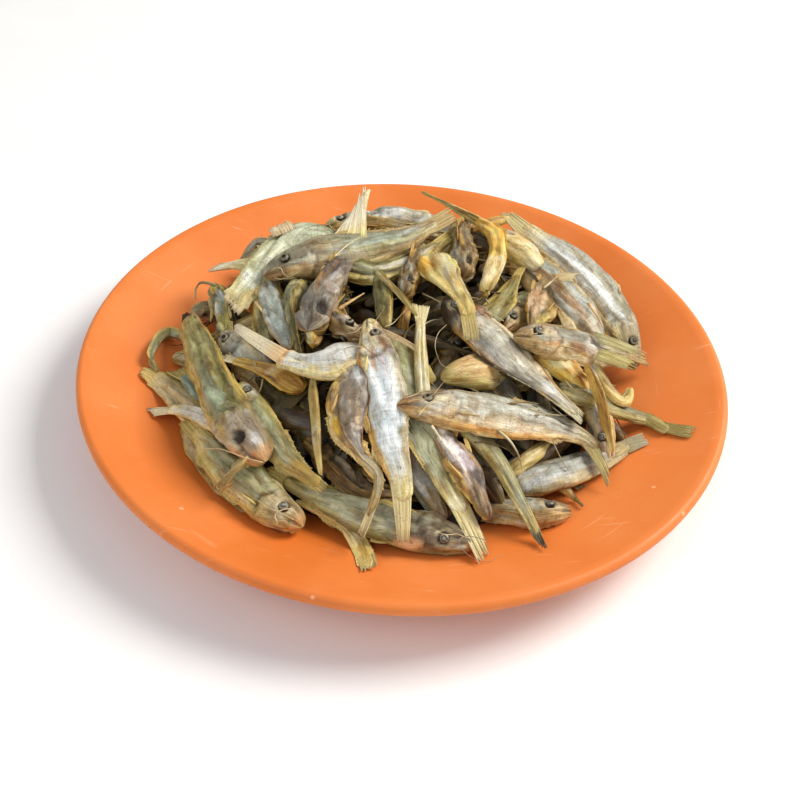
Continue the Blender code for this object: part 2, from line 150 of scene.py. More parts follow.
def in_scene(name, data):
    """A new object in the scene for a mesh, a light or a camera."""
    made = bpy.data.objects.new(name, data)
    bpy.context.scene.collection.objects.link(made)
    return made


def finish_piece(name, mesh, material, replaced="fish_heap"):
    """Puts a mesh in metres into the scene as a piece that rides on the root body."""
    mesh.name = name
    mesh.shade_smooth()
    mesh.materials.append(material)
    piece = in_scene(name, mesh)
    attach(piece, "root")
    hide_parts(replaced)
    mesh.calc_loop_triangles()
    print(name, len(mesh.loop_triangles), "triangles")


def turn_plate():
    """The plate's mesh, spun from its profile."""
    upper = [(0.0, WELL_HEIGHT), (WELL_RADIUS * 0.5, WELL_HEIGHT)]
    for step in range(PLATE_STEPS + 1):
        radius = WELL_RADIUS + step / PLATE_STEPS * (RIM_RADIUS - WELL_RADIUS)
        upper.append((radius, float(plate_top(radius, 0.0))))
    roll = []
    for step in range(1, ROLL_STEPS + 1):
        angle = math.pi / 2 - ROLL_ARC * step / ROLL_STEPS
        rise = RIM_HEIGHT - RIM_ROLL + RIM_ROLL * math.sin(angle)
        roll.append((RIM_RADIUS + RIM_ROLL * math.cos(angle), rise))
    lower = [(r, height - PLATE_WALL) for r, height in reversed(upper[1:-1]) if r > FOOT_RADIUS + FOOT_BLEND]
    lower += [(FOOT_RADIUS + FOOT_EDGE, FOOT_EDGE), (FOOT_RADIUS, 0.0), (0.0, 0.0)]
    bm = bmesh.new()
    verts = [bm.verts.new((radius * MM, 0.0, height * MM)) for radius, height in upper + roll + lower]
    geom = verts + [bm.edges.new(pair) for pair in zip(verts, verts[1:])]
    turn = {"axis": (0.0, 0.0, 1.0), "angle": 2.0 * math.pi, "steps": PLATE_SIDES, "use_merge": True}
    bmesh.ops.spin(bm, geom=geom, **turn)
    bmesh.ops.remove_doubles(bm, verts=bm.verts, dist=WELD)
    bmesh.ops.recalc_face_normals(bm, faces=bm.faces)
    return as_mesh(bm)


# %% [markdown]
# Melamine has an even colour all through, with a soft shine. What gives away a used plate is its
# surface: faint pale scuffs, short scratches from forks, a few dark pinholes, and slightly uneven
# colour. Each is a noise pattern at its real size, cut by a ramp and mixed in at low strength.

# %% Finish the plate
def melamine():
    """Moulded orange melamine: glossy once, now satin from washing, with scuffs and scratches."""
    made, tree, shader, place = empty_material("moulded_melamine")
    stretched = add(tree, "Mapping", {"Vector": place, "Rotation": (0.0, 0.0, 0.6), "Scale": (1, 14, 1)})
    # Forks and sponges leave long arcs round the plate, 0.7 mm wide
    apart = add(tree, "SeparateXYZ", {0: place})
    flat = add(tree, "CombineXYZ", {0: apart.outputs[0], 1: apart.outputs[1]})
    radius = add(tree, "VectorMath", {0: flat}, operation="LENGTH")
    rings = add(tree, "Math", {0: radius.outputs["Value"], 1: 1 / 0.0014}, operation="MULTIPLY")
    far = add(tree, "VectorMath", {0: flat, 3: 1 / 0.045}, operation="SCALE")
    spread = add(tree, "SeparateXYZ", {0: far})
    round_plate = add(tree, "CombineXYZ", {0: rings, 1: spread.outputs[0], 2: spread.outputs[1]})
    # Each pattern: its texture, where it is read, its size in metres, its detail, roughness and stops
    patterns = {
        "tint": ("Noise", place, 0.055, 3.0, 0.5, [(0.33, "d8722a"), (0.5, "e17b35"), (0.68, "e5833f")]),
        "scratch": ("Noise", stretched, 0.016, 4.0, 0.5, [(0.64, 0.0), (0.72, 1.0)]),
        "arc": ("Noise", round_plate, 1.0, 1.0, 0.5, [(0.7, 0.0), (0.76, 1.0)]),
        "scuff": ("Noise", place, 0.012, 2.0, 0.5, [(0.46, 0.0), (0.66, 1.0)]),
        "haze": ("Noise", place, 0.03, 6.0, 0.7, [(0.5, 0.0), (0.75, 0.5)]),
        "crumb": ("Voronoi", place, 0.019, 0.0, 0.5, [(0.03, 0.8), (0.055, 0.0)]),
        "pinhole": ("Voronoi", place, 0.011, 0.0, 0.5, [(0.025, 0.55), (0.045, 0.0)]),
        "few": ("Noise", place, 0.03, 2.0, 0.5, [(0.52, 0.0), (0.6, 1.0)]),
        "shine": ("Noise", place, 0.012, 2.0, 0.5, [(0.3, 0.46), (0.75, 0.6)]),
    }
    cut = {}
    for label, (texture, where, size, detail, rough, stops) in patterns.items():
        inputs = {"Vector": where, "Scale": 1 / size, "Detail": detail, "Roughness": rough}
        cut[label] = add(tree, "ValToRGB", {"Fac": add(tree, "Tex" + texture, inputs)}, stops)
    # Scratches and arcs show where the plate is scuffed, and pale specks are dried food
    marks = add(tree, "Math", {0: cut["scratch"], 1: cut["arc"]}, operation="MAXIMUM")
    worn = add(tree, "Math", {0: marks, 1: cut["scuff"]}, operation="MULTIPLY")
    more = {"operation": "MULTIPLY_ADD", "use_clamp": True}
    marked = add(tree, "Math", {0: worn, 1: 0.42, 2: cut["crumb"]}, **more)
    faint = add(tree, "Math", {0: cut["haze"], 1: 0.18, 2: marked}, **more)
    pale = add(tree, "Mix", {0: faint, 6: cut["tint"], 7: "fbb282"}, data_type="RGBA")
    pinned = add(tree, "Math", {0: cut["pinhole"], 1: cut["few"]}, operation="MULTIPLY")
    colour = add(tree, "Mix", {0: pinned, 6: pale, 7: "7a3412"}, data_type="RGBA")
    grain = add(tree, "TexNoise", {"Vector": place, "Scale": 1 / 0.004, "Detail": 3.0})
    bumped = add(tree, "Bump", {"Height": grain, "Strength": 0.06, "Distance": 0.0006})
    feed(tree, shader, {"Base Color": colour, "Roughness": cut["shine"], "Normal": bumped})
    feed(tree, shader, {"IOR": 1.5, "Specular IOR Level": 0.35})
    return made


finish_piece("melamine_plate", turn_plate(), melamine(), "plate")

# %% [markdown]
# ## Where the fish lie
#
# The heap follows one rule, the same as the solid's: a dome-shaped skin over the plate, and fish that
# lie on it in layers. Each fish is a row in a table: its form, its layer, its width and depth, the way
# its back turns, the places that it passes over from snout to tail, and its colouring. A smooth
# curve through the places is its middle line. A deeper fish slides back along the line of sight, so
# the heap looks the same from the front however deep each one lies.

# %% The heap's skin
MOUND_EDGE = 11.0
MOUND_RISE = 44.0
MOUND_RADIUS = 106.0
MOUND_MIDDLE_Y = 3.0
DOME_POWER = 0.85
OUTLINE_POWERS = (2.0, 0.6)
SLOPE_POWERS = (2.2, 1.6)
BACK_BEGINS_Y = 50.0
LAYER_DEPTHS = (0.0, 6.5, 12.5)
STIFFNESS = 0.45
SIGHT_ANGLE = math.radians(42.7)
SIGHT = np.array([0.0, -math.cos(SIGHT_ANGLE), math.sin(SIGHT_ANGLE)])
SLIDE_ROUNDS = 4


def smooth(low, high, value):
    """0 below low, 1 above high, and an even blend between."""
    share = np.clip((value - low) / (high - low), 0.0, 1.0)
    return share * share * (3.0 - 2.0 * share)


def skin(x, y):
    """Height of the heap's skin: a dome that is fuller and squarer at the back than at the front."""
    share = smooth(0.0, BACK_BEGINS_Y, y)
    power = OUTLINE_POWERS[0] + OUTLINE_POWERS[1] * share
    reach = (np.abs(x) ** power + np.abs(y - MOUND_MIDDLE_Y) ** power) ** (1.0 / power)
    slope = SLOPE_POWERS[0] + SLOPE_POWERS[1] * share
    rest = np.clip(1.0 - (reach / MOUND_RADIUS) ** slope, 0.0, 1.0)
    return MOUND_EDGE + MOUND_RISE * rest**DOME_POWER


print("crest of the skin:", round(float(skin(0.0, 30.0)), 1), "mm")

# %% [markdown]
# A form gives the outline of a dried fish as half widths and half depths along it. A few single fish
# are fuller or thinner than their form.

# %% The form of a fish
# Stations run from snout, 0, to tail tip, 1, with shares of the full width and depth.
# A whole fish's trunk ends where its tail fin begins, and the fin goes on to the tail tip.
FORMS = {
    "whole": (
        (0.0, 0.03, 0.07, 0.12, 0.18, 0.24, 0.3, 0.4, 0.5, 0.6, 0.7, 0.8, 0.88, 1.0),
        (0.36, 0.6, 0.8, 0.94, 1.02, 0.98, 0.9, 0.84, 0.74, 0.56, 0.38, 0.26, 0.2, 0.16),
        (0.26, 0.42, 0.58, 0.74, 0.9, 1.0, 1.0, 1.02, 0.94, 0.78, 0.56, 0.42, 0.4, 0.55),
        0.88,
    ),
    "tail": (
        (0.0, 0.12, 0.3, 0.42, 0.6, 0.74, 0.82, 1.0),
        (0.45, 0.9, 0.78, 0.66, 0.46, 0.34, 0.26, 0.2),
        (0.6, 1.0, 0.98, 0.88, 0.68, 0.52, 0.45, 0.6),
        0.84,
    ),
    "plain": (
        (0.0, 0.12, 0.35, 0.75, 0.88, 1.0),
        (0.4, 0.95, 0.9, 0.35, 0.22, 0.18),
        (0.35, 0.8, 1.0, 0.5, 0.4, 0.5),
        0.88,
    ),
    "leaf": (
        (0.0, 0.1, 0.2, 0.34, 0.5, 0.66, 0.8, 1.0),
        (0.45, 0.85, 0.8, 0.5, 0.34, 0.28, 0.24, 0.18),
        (0.72, 1.05, 0.98, 0.62, 0.44, 0.38, 0.36, 0.55),
        0.74,
    ),
    "spike": ((0.0, 0.25, 0.6, 1.0), (0.6, 1.0, 0.6, 0.12), (0.8, 1.0, 0.55, 0.1), 1.0),
    "strip": ((0.0, 0.3, 0.7, 1.0), (0.5, 1.0, 0.95, 0.4), (0.5, 1.0, 0.95, 0.5), 1.0),
}
TAIL_BEGINS = {
    "white_curved": 0.53, "middle_diagonal": 0.96, "left_small_tail": 0.78, "front_silver": 0.86,
    "short_tail": 0.97, "left_olive": 0.95, "front_olive": 0.84, "brown_curved": 0.9, "left_middle": 0.95,
    "front_thin": 0.97, "pale_big": 0.95, "right_big": 0.88, "straw_left_back": 0.6,
}
# Where single fish are fuller or thinner than their form: stations, then factors on width and depth
SHAPES = {
    "middle_diagonal": ((0, 0.1, 0.25, 0.5, 0.7, 0.85, 1), (1,) * 7, (1.1, 1.2, 1.45, 1.6, 1.65, 1.3, 0.8)),
    "brown_curved": (
        (0, 0.3, 0.44, 0.54, 0.7, 0.85, 1), (1.1, 1.1, 0.8, 0.6, 0.6, 0.8, 1),
        (1.2, 1.2, 0.85, 0.45, 0.45, 0.6, 0.45)
    ),
    "short_tail": ((0, 0.6, 0.7, 0.84, 1), (0.3, 0.4, 1, 1.2, 1), (0.35, 0.45, 1.0, 1.6, 1.4)),
    "front_olive": ((0, 0.3, 0.5, 0.7, 0.84, 1), (0.6, 0.6, 0.6, 0.7, 1, 1), (1.3, 1.6, 1.75, 1.5, 1.6, 1)),
    "left_olive": (
        (0, 0.06, 0.12, 0.3, 0.5, 0.7, 0.88, 1), (1, 1, 0.9, 0.8, 0.8, 0.8, 1, 1),
        (1.8, 1.4, 1.15, 1, 1, 1.4, 1.75, 0.35)
    ),
    "bottom_left": (
        (0, 0.04, 0.1, 0.3, 0.7, 1), (1.4, 1.15, 1, 0.9, 1, 1), (1.25, 1.1, 0.96, 0.92, 1.25, 1)
    ),
    "front_silver": (
        (0, 0.1, 0.3, 0.7, 0.82, 0.9, 1), (1, 1, 1, 1, 1, 1, 1), (0.85, 0.88, 1.08, 1.2, 1.35, 1.2, 0.55)
    ),
    "front_level": (
        (0, 0.1, 0.3, 0.45, 0.65, 0.8, 0.9, 1), (1,) * 8, (0.82, 0.9, 1.05, 1.2, 1.3, 1.0, 0.65, 0.35)
    ),
    "front_long": ((0, 0.05, 0.2, 1), (1, 1, 1, 1), (1.1, 1, 1, 1)),
    "right_big": ((0, 0.1, 0.3, 0.6, 0.8, 0.9, 1), (0.9,) * 7, (0.85, 0.95, 1.1, 1.4, 1.5, 1.2, 0.55)),
    "pale_big": ((0, 0.5, 0.8, 1), (1, 1, 1, 1), (1, 1.1, 1.6, 1.6)),
    "straw_left_back": ((0, 0.6, 1), (1, 1, 1.4), (1.2, 2.2, 3.0)),
    "arched_back": ((0, 1), (0.7, 0.7), (0.65, 0.65)),
    "spiny_head": ((0, 0.1, 0.3, 0.6, 1), (0.6, 0.6, 0.6, 0.8, 1), (0.5, 1.2, 1.5, 1.0, 0.7)),
    "ring_head": ((0, 1), (1.3, 1.3), (1.3, 1.2)),
    "left_outer_tail": ((0, 0.5, 0.8, 1), (1, 1, 1, 1), (1, 1.4, 2.0, 1.7)),
    "left_blue_fin": ((0, 0.5, 1), (1, 1, 1), (1, 1.3, 1.8)),
    "centre_upright": ((0, 0.3, 0.7, 0.84, 1), (1, 1, 1, 1, 1), (0.8, 0.8, 1.0, 1.3, 2.5)),
    "skull_down": ((0, 0.05, 0.12, 0.3, 1), (1.6, 1.35, 1.1, 0.9, 0.8), (1.6, 1.4, 1.15, 1, 0.9)),
    "crumpled_head": ((0, 0.06, 0.14, 1), (1.8, 1.3, 1.1, 1), (1.8, 1.3, 1.1, 1)),
    "socket_head": ((0, 0.06, 0.14, 1), (1.6, 1.2, 1, 1), (1.6, 1.2, 1, 1)),
    "crest_head": ((0, 0.1, 0.3, 1), (0.8, 0.8, 0.8, 0.8), (0.8, 0.85, 0.8, 0.8)),
    "front_purple": ((0, 0.1, 0.4, 0.8, 1), (1, 0.8, 1, 0.9, 0.6), (1.2, 0.85, 1.1, 0.9, 0.4)),
    "front_thin": ((0, 0.5, 0.8, 1), (1, 1, 1, 0.6), (1, 1, 1.1, 0.5)),
    "left_small_tail": ((0, 0.5, 0.8, 1), (1.1, 1.3, 1.5, 1.6), (1.1, 1.4, 1.8, 1.7)),
    "golden_end": ((0, 0.2, 0.6, 1), (1.1, 1.05, 0.8, 1), (1.2, 1.15, 0.9, 1.1)),
    "golden_twist": ((0, 0.4, 0.75, 0.95, 1), (1, 1.1, 1.4, 2.0, 2.2), (1, 1.1, 1.5, 2.1, 2.2)),
    "curled_skin": ((0, 1), (0.5, 0.5), (0.6, 0.6)),
    "olive_bar": ((0, 1), (1.3, 1.3), (1.3, 1.3)),
    "olive_striped": ((0, 0.4, 1), (0.8, 0.8, 1), (1.5, 1.4, 0.8)),
    "white_curved": ((0, 0.2, 0.35, 0.45, 0.53, 0.7, 1), (0.9,) * 7, (1.1, 1.15, 0.85, 0.8, 1.0, 1.3, 0.7)),
    "right_head": ((0, 0.1, 0.5, 1), (1,) * 4, (0.9, 1, 1.1, 1)),
    "middle_yellow": ((0, 0.3, 1), (0.9, 0.9, 1), (1, 1, 0.9)),
    "left_middle": ((0, 0.8, 1), (1, 1, 1), (1, 1.2, 1.1)),
}
LEAST_THICKNESS = 1.4
CURVE_STATIONS = 81
SPAN_STEPS = 12

# %% [markdown]
# The colours are those of dried catfish: a grey or olive back, a silvery flank, a cream or yellow
# belly and a tan head. Some fish have gone golden, some brown, and the tails are straw.

# %% The colourings
# Back, flank, belly, head and tail, then how much silvery film is kept and how amber the fat along
# the back and belly edges has turned
COLOURINGS = {
    "silver": ("b2ae9a", "dadedb", "eedaa2", "c9a87c", "d8c48a", 1.0, 0.75),
    "white": ("b0ae9e", "d0d1c9", "e9d698", "b8a178", "e4d3a0", 0.9, 0.4),
    "grey": ("9a937b", "b9b5a4", "e6c78a", "b69a74", "cbb07a", 0.7, 0.75),
    "dark": ("5b5142", "a9a594", "c59b54", "35271b", "c8c09c", 0.4, 0.7),
    "olive": ("6c6636", "8c8a60", "bba65a", "948465", "bca562", 0.15, 0.35),
    "pale_olive": ("87834f", "a5a27a", "d0bc70", "a8966a", "c9b26a", 0.25, 0.4),
    "straw": ("a98f52", "cbb470", "e6cd80", "bca05e", "d6bb72", 0.3, 0.35),
    "cream": ("d4be7e", "e9d79c", "f4e6b0", "d2b876", "eedfac", 0.6, 0.25),
    "golden": ("a57426", "d09b40", "f0c55c", "ad7a30", "e2bf70", 0.2, 0.5),
    "butter": ("dea436", "f6c456", "ffe494", "e6b048", "f4d27c", 0.2, 0.2),
    "brown": ("6b5734", "9c8554", "c69d54", "836944", "b89658", 0.25, 0.55),
    "purple": ("6e6364", "a5988d", "cda459", "847262", "cdaa66", 0.35, 0.6),
    "green": ("a5a880", "cad0b0", "e0d897", "aba078", "e0ce90", 0.6, 0.2),
}
# Marks on single fish: station, angle from the back on the side that shows, half length, half angle,
# colour and strength
PATCHES = {
    "front_silver": (
        (0.5, 1.5, 0.28, 0.9, "dbe5e9", 0.8), (0.17, 2.2, 0.08, 0.3, "ece2c4", 0.8),
        (0.25, 1.75, 0.07, 0.13, "a3632c", 0.75), (0.2, 1.1, 0.05, 0.16, "c5823f", 0.6),
        (0.3, 1.3, 0.06, 0.2, "b9adb4", 0.7), (0.3, 2.6, 0.14, 0.2, "cb8b3e", 0.8),
        (0.36, 0.6, 0.08, 0.25, "b8a98c", 0.7), (0.68, 2.8, 0.2, 0.4, "d6a04c", 0.85),
        (0.84, 1.6, 0.05, 1.6, "e2d294", 0.7), (0.04, 1.6, 0.04, 0.9, "e6d49c", 0.8)
    ),
    "front_level": (
        (0.5, 1.1, 0.35, 0.7, "b9b7aa", 0.85), (0.03, 1.9, 0.05, 0.8, "b07a42", 0.75),
        (0.2, 2.2, 0.05, 0.3, "c58e56", 0.6), (0.12, 1.9, 0.06, 0.25, "c8c9c0", 0.7),
        (0.17, 1.5, 0.03, 0.4, "ddd2b0", 0.6), (0.42, 2.2, 0.25, 0.3, "e9d8ba", 0.8),
        (0.46, 2.75, 0.25, 0.32, "dfa558", 0.85), (0.5, 0.3, 0.25, 0.4, "98957f", 0.6),
        (0.84, 1.5, 0.08, 1.6, "8f8058", 0.7)
    ),
    "middle_diagonal": (
        (0.1, 1.2, 0.14, 1.7, "281a10", 0.85), (0.32, 1.6, 0.08, 0.5, "d5d0c2", 0.7),
        (0.6, 1.5, 0.2, 0.6, "bab5a6", 0.7), (0.45, 2.75, 0.22, 0.35, "c8924a", 0.85),
        (0.5, 2.2, 0.25, 0.25, "efe2c4", 0.85), (0.42, 0.7, 0.2, 0.4, "8f8c86", 0.7),
        (0.36, 1.9, 0.1, 0.1, "8a6238", 0.7), (0.24, 1.8, 0.06, 0.2, "8a4f24", 0.7),
        (0.82, 1.5, 0.1, 1.0, "c9c9c8", 0.6)
    ),
    "left_olive": (
        (0.1, 1.2, 0.1, 1.2, "998b7a", 0.8), (0.06, 1.0, 0.03, 0.35, "d8d2cc", 0.8),
        (0.13, 2.3, 0.06, 0.4, "d9cfae", 0.7), (0.07, 2.7, 0.1, 0.35, "d0a066", 0.8),
        (0.01, 1.4, 0.03, 1.2, "dba873", 0.7), (0.33, 1.7, 0.1, 0.7, "8f9c83", 0.7),
        (0.75, 1.5, 0.2, 0.9, "a09c62", 0.7), (0.96, 1.5, 0.03, 1.6, "4a3a24", 0.7)
    ),
    "brown_curved": (
        (0.4, 2.3, 0.05, 0.35, "c39a2a", 0.9), (0.25, 1.2, 0.14, 0.7, "94887a", 0.7),
        (0.12, 1.0, 0.06, 0.5, "b8bcc0", 0.6), (0.45, 2.9, 0.16, 0.3, "dfc48c", 0.8),
        (0.7, 1.5, 0.15, 1.5, "9a8f66", 0.6)
    ),
    "bottom_left": (
        (0.1, 1.5, 0.11, 1.3, "8d7247", 0.7), (0.02, 1.5, 0.03, 1.3, "c99f6c", 0.75),
        (0.19, 1.4, 0.02, 0.7, "cbb893", 0.7), (0.24, 1.2, 0.02, 0.6, "a39467", 0.6),
        (0.16, 0.35, 0.14, 0.2, "dfd0a4", 0.8), (0.5, 1.6, 0.2, 0.7, "9a9770", 0.6)
    ),
    "left_middle": (
        (0.14, 1.5, 0.05, 0.8, "dad5bf", 0.8), (0.22, 1.7, 0.03, 0.7, "a06a34", 0.7),
        (0.45, 1.5, 0.2, 0.6, "9ba187", 0.6), (0.86, 1.5, 0.12, 1.3, "b99643", 0.8)
    ),
    "front_long": (
        (0.17, 1.6, 0.2, 1.4, "54483c", 0.9), (0.17, 2.6, 0.2, 0.5, "4f3f31", 0.85),
        (0.26, 0.5, 0.06, 0.45, "d8a878", 0.85), (0.02, 0.9, 0.03, 0.6, "c9a06a", 0.7),
        (0.5, 1.5, 0.3, 0.9, "9c9a80", 0.8), (0.5, 2.5, 0.3, 0.3, "c8bd93", 0.7)
    ),
    "white_curved": (
        (0.25, 1.2, 0.25, 0.9, "bdbdb9", 0.85), (0.5, 1.4, 0.08, 0.9, "dadbd8", 0.8),
        (0.4, 2.75, 0.3, 0.3, "e6d39a", 0.85), (0.51, 1.5, 0.03, 1.6, "e0a55c", 0.8)
    ),
    "left_crumple": (
        (0.1, 1.2, 0.06, 0.6, "c9b45c", 0.8), (0.2, 0.6, 0.06, 0.5, "aab3b2", 0.8),
        (0.32, 1.6, 0.06, 0.5, "d9d9cc", 0.8), (0.45, 0.9, 0.08, 0.6, "b9ad5e", 0.7)
    ),
    "left_blue_fin": ((0.6, 1.3, 0.4, 1.2, "90a496", 0.85),),
    "left_outer_tail": ((0.55, 1.3, 0.3, 1.2, "cbb68a", 0.85), (0.2, 1.3, 0.1, 0.8, "cfcdbf", 0.8)),
    "left_small_tail": ((0.4, 1.3, 0.3, 1.0, "cdc9bd", 0.85),),
    "pale_short": ((0.3, 1.3, 0.25, 1.1, "ecdcaa", 0.85), (0.45, 0.6, 0.1, 0.4, "d9a85a", 0.6)),
    "spiny_head": ((0.25, 1.0, 0.18, 0.9, "b39270", 0.85), (0.12, 2.2, 0.12, 0.5, "b3a458", 0.7)),
    "low_small_head": ((0.12, 1.4, 0.12, 0.9, "cdb98a", 0.7), (0.05, 1.9, 0.04, 0.4, "b5643c", 0.6)),
    "tan_end": ((0.2, 1.2, 0.25, 1.2, "cdc491", 0.85),),
    "ring_head": ((0.15, 0.8, 0.2, 0.9, "8f8c6a", 0.7), (0.1, 0.5, 0.02, 0.7, "c2b98e", 0.7)),
    "small_head": ((0.14, 1.4, 0.1, 0.9, "b3a9a4", 0.7), (0.05, 1.7, 0.04, 0.8, "b98a50", 0.6)),
    "golden_end": ((0.12, 1.4, 0.14, 1.4, "a97c33", 0.8), (0.35, 1.2, 0.08, 0.5, "dcc094", 0.6)),
    "front_purple": (
        (0.45, 1.4, 0.1, 0.6, "d9cfd0", 0.9), (0.33, 1.1, 0.08, 0.5, "c4b6be", 0.8),
        (0.6, 1.3, 0.07, 0.4, "dccbb2", 0.8), (0.55, 2.6, 0.16, 0.45, "c67f3c", 0.7),
        (0.08, 1.5, 0.11, 1.6, "6f5532", 0.8), (0.7, 1.4, 0.1, 1.4, "5c4b3f", 0.6)
    ),
    "front_olive": (
        (0.5, 1.3, 0.3, 0.9, "a3a688", 0.8), (0.55, 2.75, 0.3, 0.35, "cdb45f", 0.8),
        (0.82, 1.4, 0.04, 1.5, "d9d2ae", 0.7)
    ),
    "right_ribbed": ((0.35, 1.4, 0.25, 0.7, "b3b6aa", 0.7), (0.72, 1.5, 0.08, 1.4, "d4bc77", 0.7)),
    "right_big": (
        (0.5, 1.2, 0.3, 0.35, "dfe6e4", 0.8), (0.5, 1.6, 0.35, 0.12, "8d8672", 0.7),
        (0.45, 0.8, 0.3, 0.2, "aea68c", 0.7), (0.55, 2.4, 0.38, 0.45, "ddb974", 0.85),
        (0.12, 1.3, 0.1, 0.8, "b5a274", 0.7)
    ),
    "right_head": (
        (0.05, 1.7, 0.06, 0.8, "b38c52", 0.7), (0.14, 1.75, 0.05, 0.35, "9aa598", 0.8),
        (0.22, 2.3, 0.09, 0.4, "d79a52", 0.8), (0.3, 2.5, 0.2, 0.4, "e6cfa0", 0.8),
        (0.36, 1.9, 0.05, 0.4, "8e5a30", 0.7), (0.46, 1.6, 0.06, 0.6, "d9cfc2", 0.8),
        (0.7, 1.6, 0.14, 0.9, "b2a776", 0.7)
    ),
    "crest_long": (
        (0.12, 0.9, 0.12, 0.9, "96967f", 0.85), (0.05, 2.1, 0.07, 0.6, "a97a40", 0.75),
        (0.2, 2.2, 0.1, 0.4, "d3b07a", 0.75), (0.28, 1.7, 0.1, 0.2, "e3d6ac", 0.7),
        (0.55, 1.1, 0.25, 0.3, "a1aa98", 0.85), (0.55, 0.5, 0.25, 0.25, "8d8f74", 0.8),
        (0.65, 1.6, 0.25, 0.25, "bab682", 0.8)
    ),
    "crest_lower": ((0.5, 1.4, 0.3, 0.3, "c9c4b6", 0.8), (0.5, 0.8, 0.3, 0.2, "5b5238", 0.7)),
    "skull_down": (
        (0.14, 0.6, 0.16, 1.4, "8f8a7f", 0.85), (0.22, -0.5, 0.06, 0.4, "6a675f", 0.6),
        (0.12, -1.0, 0.05, 0.4, "9a9468", 0.6), (0.2, 1.9, 0.12, 0.3, "d3ae94", 0.75),
        (0.3, 1.2, 0.06, 0.4, "c9bcb4", 0.7)
    ),
    "crumpled_head": ((0.15, 1.2, 0.1, 1.0, "9c8464", 0.6), (0.05, 1.3, 0.03, 0.8, "8a6b45", 0.7)),
    "right_under": (
        (0.4, 1.4, 0.3, 0.3, "97744a", 0.75), (0.5, 0.8, 0.3, 0.22, "b4bfba", 0.75),
        (0.4, 1.9, 0.3, 0.2, "6a6250", 0.6)
    ),
    "middle_yellow": (
        (0.2, 1.2, 0.16, 0.5, "c2b78e", 0.8), (0.12, 2.4, 0.1, 0.6, "cf9a34", 0.85),
        (0.14, 0.6, 0.12, 0.4, "c4b866", 0.8), (0.3, 1.5, 0.1, 0.2, "8f7a6a", 0.6)
    ),
    "crest_head": ((0.04, 1.6, 0.05, 1.0, "a89a52", 0.8), (0.16, 1.6, 0.05, 0.8, "a3aa92", 0.7)),
    "crest_fin": ((0.3, 2.6, 0.4, 0.5, "dcb85c", 0.8), (0.4, 1.2, 0.4, 0.4, "d8d5d2", 0.8)),
    "pale_big": ((0.4, 1.3, 0.4, 0.9, "ccd0b4", 0.7), (0.75, 1.4, 0.07, 0.8, "e6ead9", 0.8)),
    "blue_upright": ((0.25, 1.2, 0.35, 1.2, "a9b3ae", 0.85), (0.4, 2.4, 0.3, 0.4, "c2a85c", 0.8)),
    "golden_twist": (
        (0.35, 1.2, 0.2, 1.5, "eec264", 0.85), (0.82, 1.2, 0.16, 1.5, "f4dda8", 0.85),
        (0.3, 2.0, 0.2, 0.3, "d29a3c", 0.5)
    ),
    "tan_wedge": (
        (0.2, 1.0, 0.16, 1.3, "d8b27c", 0.8), (0.3, 1.3, 0.04, 0.25, "5c3d20", 0.8),
        (0.36, 1.4, 0.06, 0.9, "d39a56", 0.8), (0.44, 1.4, 0.04, 0.8, "d8cab0", 0.7)
    ),
    "left_ring_eye": ((0.16, 1.6, 0.1, 0.9, "94968a", 0.7), (0.05, 1.4, 0.05, 1.2, "77705f", 0.7)),
    "brown_right": ((0.15, 1.3, 0.14, 1.0, "8a8376", 0.8),),
    "right_low_head": ((0.15, 2.2, 0.12, 0.6, "d3a45e", 0.8), (0.22, 1.5, 0.03, 0.9, "dcd8c4", 0.8)),
    "front_white_under": ((0.2, 1.3, 0.05, 0.7, "e2ddd0", 0.8), (0.08, 1.4, 0.08, 1.2, "c2a06a", 0.7)),
    "gold_piece": ((0.3, 1.4, 0.2, 0.8, "c9c08c", 0.8), (0.08, 1.4, 0.1, 1.2, "c08d3e", 0.8)),
}
# How light each fish is painted: below 1 is painted shade, on fish in the shadow of others or that
# catch too much of the key light, and above 1 is painted light, on a few painted paler than their colouring
PAINTED_LIGHT_AND_SHADE = {
    "front_white_under": 0.8, "front_thin_under": 0.5, "deep_curled": 0.5, "deep_left": 0.4,
    "deep_right": 0.4, "deep_centre": 0.35, "deep_left_back": 0.5, "deep_foot": 0.6, "tan_wedge": 0.8,
    "bottom_under": 0.8, "left_ring_eye": 0.85, "low_small_head": 0.9, "brown_right": 0.9,
    "golden_blob": 0.8, "olive_bar": 0.85, "right_dark_fin": 0.75, "right_low_head": 0.75,
    "right_ribbed": 0.5, "right_tail": 0.65, "front_thin": 0.85, "right_big": 0.85, "right_head": 0.85,
    "front_level": 0.84, "middle_diagonal": 0.88, "crest_long": 0.8, "pale_big": 0.87, "skull_down": 0.7,
    "left_middle": 0.8, "centre_upright": 0.85, "front_purple": 1.3, "front_silver": 1.05,
    "crest_head": 1.15,
}
# Fish deep in the heap, glimpsed in the gaps, are painted dark: painted shade
DEEP_PAINTED_SHADE = 0.25


def painted_light_and_shade(name):
    """Painted light and shade of a fish: 1 for one that shows and isn't shaded, less for painted shade."""
    return PAINTED_LIGHT_AND_SHADE.get(name, DEEP_PAINTED_SHADE if name.startswith("deep_") else 1.0)
